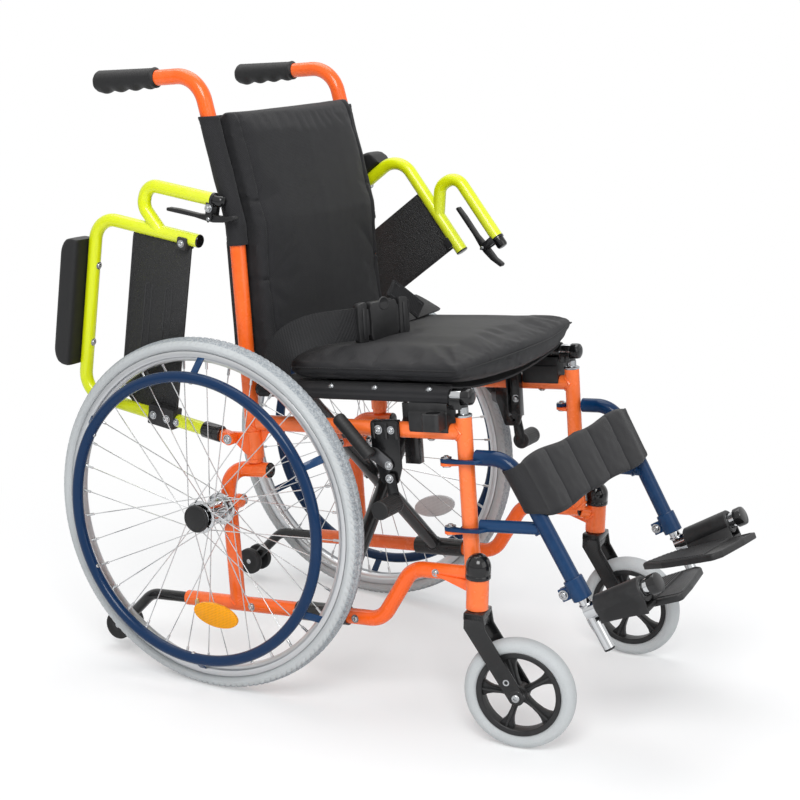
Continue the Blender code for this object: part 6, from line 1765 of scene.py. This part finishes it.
back = {"low": 0.200, "high": 0.556, "half": 0.1605, "thick": 0.040, "crown": 0.007,
    "pocketLow": 0.375, "pocketHigh": 0.553, "creases": (0.345, 0.655)}


def backAlong(up, offset):
    return caneAlong - max(0.0, up - plan["caneStraightUp"]) * tan(plan["caneLean"]) + offset


def backSling():
    cloth = plan["cloth"]
    half = sidePlane - tubeRadius - 0.0006
    low, high = back["low"], back["pocketHigh"]
    rings = []
    for i in range(65):
        up = low + (high - low) * i / 64
        rows = [[], []]
        for j in range(25):
            x = half * (-1 + 2 * j / 24)
            belly = -0.0012 * cos(pi / 2 * x / half) + 0.0006 * gentle(x * 20, up * 20, 4.0)
            for row, shift in zip(rows, (0.5, 1.5)):
                row.append(tilted(x, backAlong(up, cloth * shift - tubeRadius + belly), up))
        rings.append(rows[0] + rows[1][::-1])
    item = piece("back sling", [loft(rings)], "backCloth", "right_frame", ["back_sling"], 60)
    folds(item)


def pocket(side):
    # A sleeve round the cane, gathered a little, with a hem at each end, and the narrow
    # strip that runs down behind the cane below it.
    sign = sides[side]
    x = sidePlane * sign
    low, high = back["pocketLow"], back["pocketHigh"]
    outside, inside = [], []
    for i in range(91):
        share = i / 90
        up = low + (high - low) * share
        hemLift = 0.0006 * (bumpOn(share, 0.015, 0.02) + bumpOn(share, 0.985, 0.02) - bumpOn(share,
            0.07, 0.008) - bumpOn(share, 0.93, 0.008))
        ring = []
        for c, s in circle(44):
            wrinkle = 0.0010 * gentle(c * 1.4 + sign * 4, s * 1.4, up * 26)
            flare = 0.0026 * max(0.0, -c * sign) ** 6 * max(0.0, -s + 0.6)
            r = tubeRadius + 0.0034 + hemLift + wrinkle + flare
            ring.append(tilted(x + r * c, backAlong(up, r * s), up))
        outside.append(ring)
        r = tubeRadius + 0.0007
        inside.append([tilted(x + r * c, backAlong(up, r * s), up) for c, s in circle(44)])
    piece(f"pocket {side}", [loft(outside + inside[::-1], True)], "backCloth", bodies[side],
        sharp=70)
    off = -tubeRadius * 0.98
    reach = sqrt(tubeRadius ** 2 - off ** 2) * 0.72 + 0.0006
    rings = []
    for i in range(49):
        up = back["low"] + 0.002 + (low + 0.002 - back["low"]) * i / 48
        place = x + sign * (reach + 0.0006 * gentle(off * 50, up * 22, 9.0))
        rings.append([tilted(place + sign * dx, caneAlong + off + dy, up) for dx, dy in mm((-4,
            -5.2), (1.4, -5.2), (2.2, 0), (1, 5.2), (-4, 5.2))])
    piece(f"pocket strips {side}", [loft(rings)], "backCloth", bodies[side], sharp=70)


def backCushion():
    k = back
    halfWidth, thick, lowEnd, tall = k["half"], k["thick"], k["low"], k["high"] - k["low"]
    rear = -tubeRadius + 1.5 * plan["cloth"] + gap
    rings = []
    count = 120
    for i in range(count + 1):
        share = i / count
        top = 1 - softEdge(share, 0.055) if share > 0.5 else 0.0
        bottom = 1 - softEdge(share, 0.08) if share < 0.5 else 0.0
        pinch = sum(bumpOn(share, at, 0.018) for at in k["creases"])
        half = halfWidth - 0.0035 * pinch - 0.004 * bottom
        foot = 0.014 * max(0.0, (0.20 - share) / 0.20) ** 1.5
        near = 0.021 * top + 0.010 * bottom
        far = (thick - 0.003) - 0.009 * top - 0.010 * bottom + foot
        ring = []
        for c, s in circle(124):
            x = (half + (0.003 if c > 0 else 0.0)) * copysign(abs(c) ** 0.22, c)
            level = copysign(abs(s) ** 0.50, s)
            crown = k["crown"] * (1 - (x / halfWidth) ** 2) * max(0.0, level) * (1 - top)
            depth = near + (far - near) * (0.5 + 0.5 * level) + crown
            if abs(c) > 0.25:
                x -= copysign(0.0042 * bumpOn(depth / far, 0.52, 0.16) * (1 - top), x)
            if level > 0.3:
                depth += 0.0012 * gentle(x * 9, share * 3, 2.0)
            rise = 0.0045 * (0.5 + 0.5 * x / halfWidth) + 0.002 * (x / halfWidth) ** 4
            up = lowEnd + 0.002 + (tall - 0.003 + rise) * share
            ring.append(tilted(x, backAlong(up, rear + max(0.0006, depth)), up))
        rings.append(ring)

    def held(x, along, up):
        depth = along - backAlong(up, rear)
        share = (up - lowEnd) / tall
        seam = (abs(depth - 0.52 * thick) < 0.003 or min(abs(share - at) for at in k[
            "creases"]) < 0.008)
        ends = depth < 0.004 or share > 0.982 or share < 0.015
        return 1.0 if ends or abs(x) > halfWidth - 0.014 and seam else 0.0

    def pressed(x, along, up):
        # A seam down each side of the front panel leaves a narrow roll, creased twice
        share = (up - lowEnd) / tall
        if along - backAlong(up, rear) > 0.55 * thick:
            inside = halfWidth - abs(x)
            along -= 0.0030 * bumpOn(inside, 0.0175, 0.0050)
            along += 0.0016 * bumpOn(inside, 0.0090, 0.0080)
            crease = sum(bumpOn(share, at, 0.010) for at in k["creases"])
            along -= 0.0034 * crease * ease((0.020 - inside) / 0.008)
        return tilted(x, along, up)

    solid = inflated(loft(rings), held, 0.008, 0.004, 0.0050, None, pressed)
    item = piece("back cushion", [solid], "backCloth", "right_frame", ["back_cushion"], 60)
    folds(item)


calf = {"start": 0.007, "high": 0.084, "thick": 0.010, "channel": 0.0042, "channels": 5}


def calfStrap():
    # A quilted band with upright channels and rolled hems, drawn round both hanger tubes.
    k = calf
    start, high, channels = k["start"], k["high"], k["channels"]
    run = (rakePoint(0, start + high) - rakePoint(0, start)).normalized()
    ahead = across.cross(run).normalized()
    if ahead.dot(forward) < 0:
        ahead = -ahead
    inner = rest["radius"] + 0.0006
    footDistance = (rest["topUp"] - rest["footUp"]) / cos(rest["rake"])
    turns = 26
    straight = 150
    total = straight + 2 * turns
    rings = []
    for i in range(total + 1):
        ring = []
        for face, n in [(1, n) for n in range(25)] + [(-1, n) for n in range(24, -1, -1)]:
            share = n / 24
            distance = start + high * share
            tube = sidePlane + (rest["footPlane"] - sidePlane) * distance / footDistance
            rolled = bumpOn(share, 0.05, 0.05) + bumpOn(share, 0.95, 0.05)
            if turns <= i <= total - turns:
                place = (i - turns) / straight
                swell = abs(sin(pi * place * channels)) ** 0.45
                middle = 0.5 * (k["thick"] - k["channel"] + k["channel"] * swell)
                x = tube * (2 * place - 1)
                wave = 0.0007 * gentle(x * 70, share * 6, 5.0)
                deep = 0.0022 + (middle - 0.0022) * ease(min(place, 1 - place) / 0.10)
                half = deep * (1 - (2 * abs(share - 0.5)) ** 12)
                off = inner + deep - 0.0035 * sin(pi * place)
                off += face * (half + 0.0007) + rolled * 0.0007 * face + wave * (1 - rolled)
                spot = rakePoint(x, distance) + ahead * off
            else:
                side = -1 if i < turns else 1
                part = (turns - i) / turns if side < 0 else (i - total + turns) / turns
                angle = pi / 2 - radians(172) * part
                reach = inner + 0.0022 + face * (0.0019 + rolled * 0.0004)
                spot = rakePoint(tube * side, distance)
                spot += across * side * reach * cos(angle) + ahead * reach * sin(angle)
                spot -= run * 0.010 * part
            ends = abs(2 * i / total - 1)
            narrow = 0.010 * ease((ends - 0.62) / 0.38) * (2 * share - 1)
            narrow += 0.0022 * sin(ends * 9.0) * (2 * share - 1) ** 3
            ring.append(spot - run * narrow)
        rings.append(ring)
    item = piece("calf strap", [loft(rings)], "blackCloth", "hanger_right", ["calf_strap"], 60)
    folds(item)
    stitches = []
    for n in range(1, channels):
        place = n / channels
        front = inner + k["thick"] - k["channel"] + 0.0008 - 0.0035 * sin(pi * place)
        stitches.append(sweep([rakePoint(sidePlane * (2 * place - 1), start + high * s) + ahead
            * front for s in (0.08, 0.92)], 0.0006, steps=6))
    folds(piece("strap seams", stitches, "thread", "hanger_right"))


def smoothLine(points, parts=9):
    # A smooth line through the points.
    count = len(points)
    line = []
    for i in range(count - 1):
        a, b, c, d = (points[min(count - 1, max(0, i + n))] for n in (-1, 0, 1, 2))
        for part in range(parts):
            s = part / parts
            line.append(0.5 * (2 * b + (c - a) * s + (2 * a - 5 * b + 4 * c - d) * s * s + (3 * b
                - a - 3 * c + d) * s ** 3))
    line.append(points[-1].copy())
    return line


def strapBand(stations, thick, ripple):
    # Each station holds the band's lower edge and its upper edge.
    lows = smoothLine([low for low, high in stations])
    highs = smoothLine([high for low, high in stations])
    rings = []
    for i, (low, high) in enumerate(zip(lows, highs)):
        before, after = max(0, i - 1), min(len(lows) - 1, i + 1)
        run = (lows[after] + highs[after] - lows[before] - highs[before]).normalized()
        side = run.cross(high - low).normalized()
        rows = [[], []]
        for n in range(9):
            edge = 1 - 0.35 * abs(n / 4 - 1) ** 8
            place = low.lerp(high, n / 8)
            wave = ripple * noise.noise(place * 38)
            for row, face in zip(rows, (-1, 1)):
                row.append(place + side * (thick / 2 * face * edge + wave))
        rings.append(rows[0] + rows[1][::-1])
    return loft(rings)


# Belt: a strap's course holds (sideways, along, below the buckle) and how its width leans,
# as parts of up and forward
belt = {"thick": 0.0032, "high": 0.045, "buckle": (-0.085, 0.222, 0.2577), "size": (0.070, 0.016,
    0.052), "turn": radians(-22), "grow": 1.14, "port": 0.010, "right": (((-0.150, 0.188, 0), (1,
    0)), ((-0.1730, 0.160, 0.003), (0.97, 0.24)), ((-0.1885, 0.134, 0.016), (0.78, 0.62)), ((
    -0.1935, 0.116, 0.040), (0.25, 0.97)), ((-0.1930, 0.112, 0.070), (-0.1, 1))), "left": (((None,
    0.190, 0.002), (0.9, 0.4)), ((0.152, 0.165, 0.011), (0.5, 0.86)), ((0.175, 0.132, 0.016), (0.45,
    0.89)), ((0.1890, 0.116, 0.036), (0.3, 0.95)), ((0.1905, 0.112, 0.062), (-0.1, 1)))}


def beltStrap(side, middle, wide):
    # Round the cushion's rear corner, then down between its side and the wheel.
    k = belt
    sign = sides[side]
    up = k["buckle"][2]
    start = middle + wide * sign * (k["size"][0] / 2 + 0.005 + gap)
    port = k["port"] if side == "right" else 0.006
    courses = [(start, upward), (start + wide * sign * port, upward)]
    for (x, along, drop), (level, ahead) in k[side]:
        place = tilted(start.x + 0.030 if x is None else x, along, up - drop)
        courses.append((place, (upward * level - forward * ahead).normalized()))
    half = k["high"] / 2
    stations = [(place - way * half, place + way * half) for place, way in courses]
    item = piece(f"belt {side}", [strapBand(stations, k["thick"], 0.0007)], "webbing", "seat", [
        f"belt_strap_{side}"], 60)
    folds(item)


def buckle(middle, wide, deep):
    # A body with two side ports and the tongue with its two prongs.
    grow = belt["grow"]
    thick, high = belt["size"][1:]

    def spot(dx, dy, dz):
        return middle + wide * dx * grow + deep * dy + upward * dz * high * grow

    shell = roundedPath([spot(dx, 0, dz) for dx, dz in ((-0.019, -0.46), (0.019, -0.46), (0.0215,
        -0.30), (0.0205, 0.0), (0.0215, 0.30), (0.019, 0.46), (-0.019, 0.46), (-0.0215, 0.30), (
        -0.0205, 0.0), (-0.0215, -0.30))], 0.004, 4, True)
    solids = [plate(shell, thick * 0.92, deep, 0.0022)]
    axes = (wide, deep, upward)
    for way in (-1, 1):
        bar = roundedPath([spot(way * dx, 0, dz) for dx, dz in ((0.0245, -0.50), (0.0385, -0.46), (
            0.0392, 0), (0.0385, 0.46), (0.0245, 0.50))], 0.004, 4, True)
        solids += [plate(bar[::way], thick * 0.74, deep, 0.0016), block(spot(way * 0.0228, 0, 0), (
            0.006, thick * 0.5, high * 0.70), axes, 0.0010), block(spot(way * 0.0312, thick * 0.40,
            0), (0.0034, 0.0020, high * 0.80), axes, 0.0008)]
    solids.append(lathe([(0.0010, thick * 0.44), (0.0066, thick * 0.46), (0.0082, thick * 0.49), (
        0.0090, thick * 0.46), (0.0094, thick * 0.40)], spot(0, 0, 0.40), deep, 32))
    piece("buckle", solids, "blackPlastic", "buckle", ["belt_buckle"])


def beltTail(middle, wide, deep):
    # The loose end of the belt, folded back over the strap above the buckle.
    start = middle + wide * 0.021 - deep * 0.003 + upward * 0.043
    end = middle + wide * 0.079 - deep * 0.011 + upward * 0.001
    run = (end - start).normalized()
    square = run.cross(deep).normalized()
    rings = []
    for i in range(33):
        share = i / 32
        centre = start.lerp(end, share) + deep * 0.003 * sin(pi * share)
        thick = 0.0014 + 0.0012 * (bumpOn(share, 0.05, 0.05) + bumpOn(share, 0.95, 0.05))
        rows = [[], []]
        for n in range(9):
            off = n / 4 - 1
            edge = thick + 0.0007 * bumpOn(abs(off), 0.85, 0.15)
            for row, face in zip(rows, (-1, 1)):
                row.append(centre + square * 0.0120 * off + deep * face * edge)
        rings.append(rows[0] + rows[1][::-1])
    piece("belt tail", [loft(rings)], "webbing", "buckle", sharp=60)
    stitches = [sweep([start + square * off + deep * 0.0030 + run * 0.004, end + square * off + deep
        * 0.0030 - run * 0.004], 0.0005, steps=6) for off in (-0.0085, 0.0085)]
    piece("tail stitches", stitches, "thread", "buckle")


def beltPieces():
    middle = tilted(*belt["buckle"])
    wide, deep = (spun(upward, belt["turn"], way) for way in (across, forward))
    for side in sides:
        beltStrap(side, middle, wide)
    buckle(middle, wide, deep)
    beltTail(middle, wide, deep)


seatSling()
print("slings: seat made")
seatCushion()
print("cushions: seat made")
backSling()
for side in sides:
    pocket(side)
backCushion()
print("cushions: back made")
calfStrap()
beltPieces()
print("belt: made")

for (body, finishName), solids in fixings.items():
    piece(f"fixings {finishName} {body}", solids, finishName, body, sharp=40)
print("fixings: made")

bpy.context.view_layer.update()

# Floor, light and camera
bpy.context.scene.view_settings.view_transform = "Standard"
studio = {"ambient": 0.42, "lamps": {
    "key": ((-2.6, -1.2, 2.9), 92.0, 1.6), "fill": ((-0.6, -3.6, 1.6), 24.0, 2.4),
    "top": ((0.6, 0.8, 3.4), 52.0, 2.6)}}


def floorMaterial():
    # Pale floor: it keeps the shadow near the chair and fades to plain white further out.
    material = bpy.data.materials.new("floor")
    tree, add, maths = emptied(material)
    look = add("BsdfDiffuse", {"Color": (0.97, 0.97, 0.97, 1)})
    white = add("Emission", {"Color": (1, 1, 1, 1), "Strength": 1.0})
    away = add("VectorMath", {0: add("TexCoord", out="Object")}, "Value", operation="LENGTH")
    share = add("MapRange", {"Value": away, "From Min": 0.35, "From Max": 1.15, "To Min": 0.35,
                             "To Max": 1.0})
    seen = maths("MULTIPLY", share, add("LightPath", out="Is Camera Ray"))
    add("OutputMaterial", {"Surface": add("MixShader", {0: seen, 1: look, 2: white})}, None)
    return material


floorMesh = bpy.data.meshes.new("floor")
floorMesh.from_pydata([(-30, -30, 0), (30, -30, 0), (30, 30, 0), (-30, 30, 0)], [], [(0, 1, 2, 3)])
floorMesh.materials.append(floorMaterial())
placed("floor", floorMesh)


def worldLight():
    world = bpy.data.worlds.new("studio")
    bpy.context.scene.world = world
    tree, add, maths = emptied(world)
    path = add("LightPath", out=None).outputs
    seen = maths("MAXIMUM", path["Is Camera Ray"], path["Is Glossy Ray"])
    seen = maths("MAXIMUM", seen, path["Is Transmission Ray"])
    soft = add("Background", {"Color": (0.93, 0.96, 1.0, 1), "Strength": studio["ambient"]})
    white = add("Background", {"Color": (1, 1, 1, 1), "Strength": 1.0})
    add("OutputWorld", {"Surface": add("MixShader", {0: seen, 1: soft, 2: white})}, None)


worldLight()
for name, (place, power, size) in studio["lamps"].items():
    lamp = bpy.data.lights.new(name, "AREA")
    lamp.energy = power
    lamp.size = size
    item = placed(name, lamp)
    item.location = place
    item.rotation_euler = (Vector((0, 0, 0.4)) - Vector(place)).to_track_quat("-Z", "Y").to_euler()

shot = {"azimuth": radians(-60.74), "elevation": radians(13.44), "roll": radians(1.1),
        "lens": 76.3, "shift": (0.0044, -0.0029), "place": (-2.103, -1.352, 0.977)}


def camera():
    data = bpy.data.cameras.new("camera")
    data.lens = shot["lens"]
    data.sensor_width = 36
    data.shift_x, data.shift_y = shot["shift"]
    item = placed("camera", data)
    a, e = shot["azimuth"], shot["elevation"]
    toward = Vector((-cos(e) * sin(a), cos(e) * cos(a), -sin(e)))
    right = toward.cross(skyward).normalized()
    top = right.cross(toward)
    c, s = cos(shot["roll"]), sin(shot["roll"])
    turned = (right * c + top * s, top * c - right * s, -toward)
    item.matrix_world = Matrix(turned).transposed().to_4x4()
    item.matrix_world.translation = Vector(shot["place"]) + Vector((0, axleY, 0))
    bpy.context.scene.camera = item


camera()
print("stage: made")
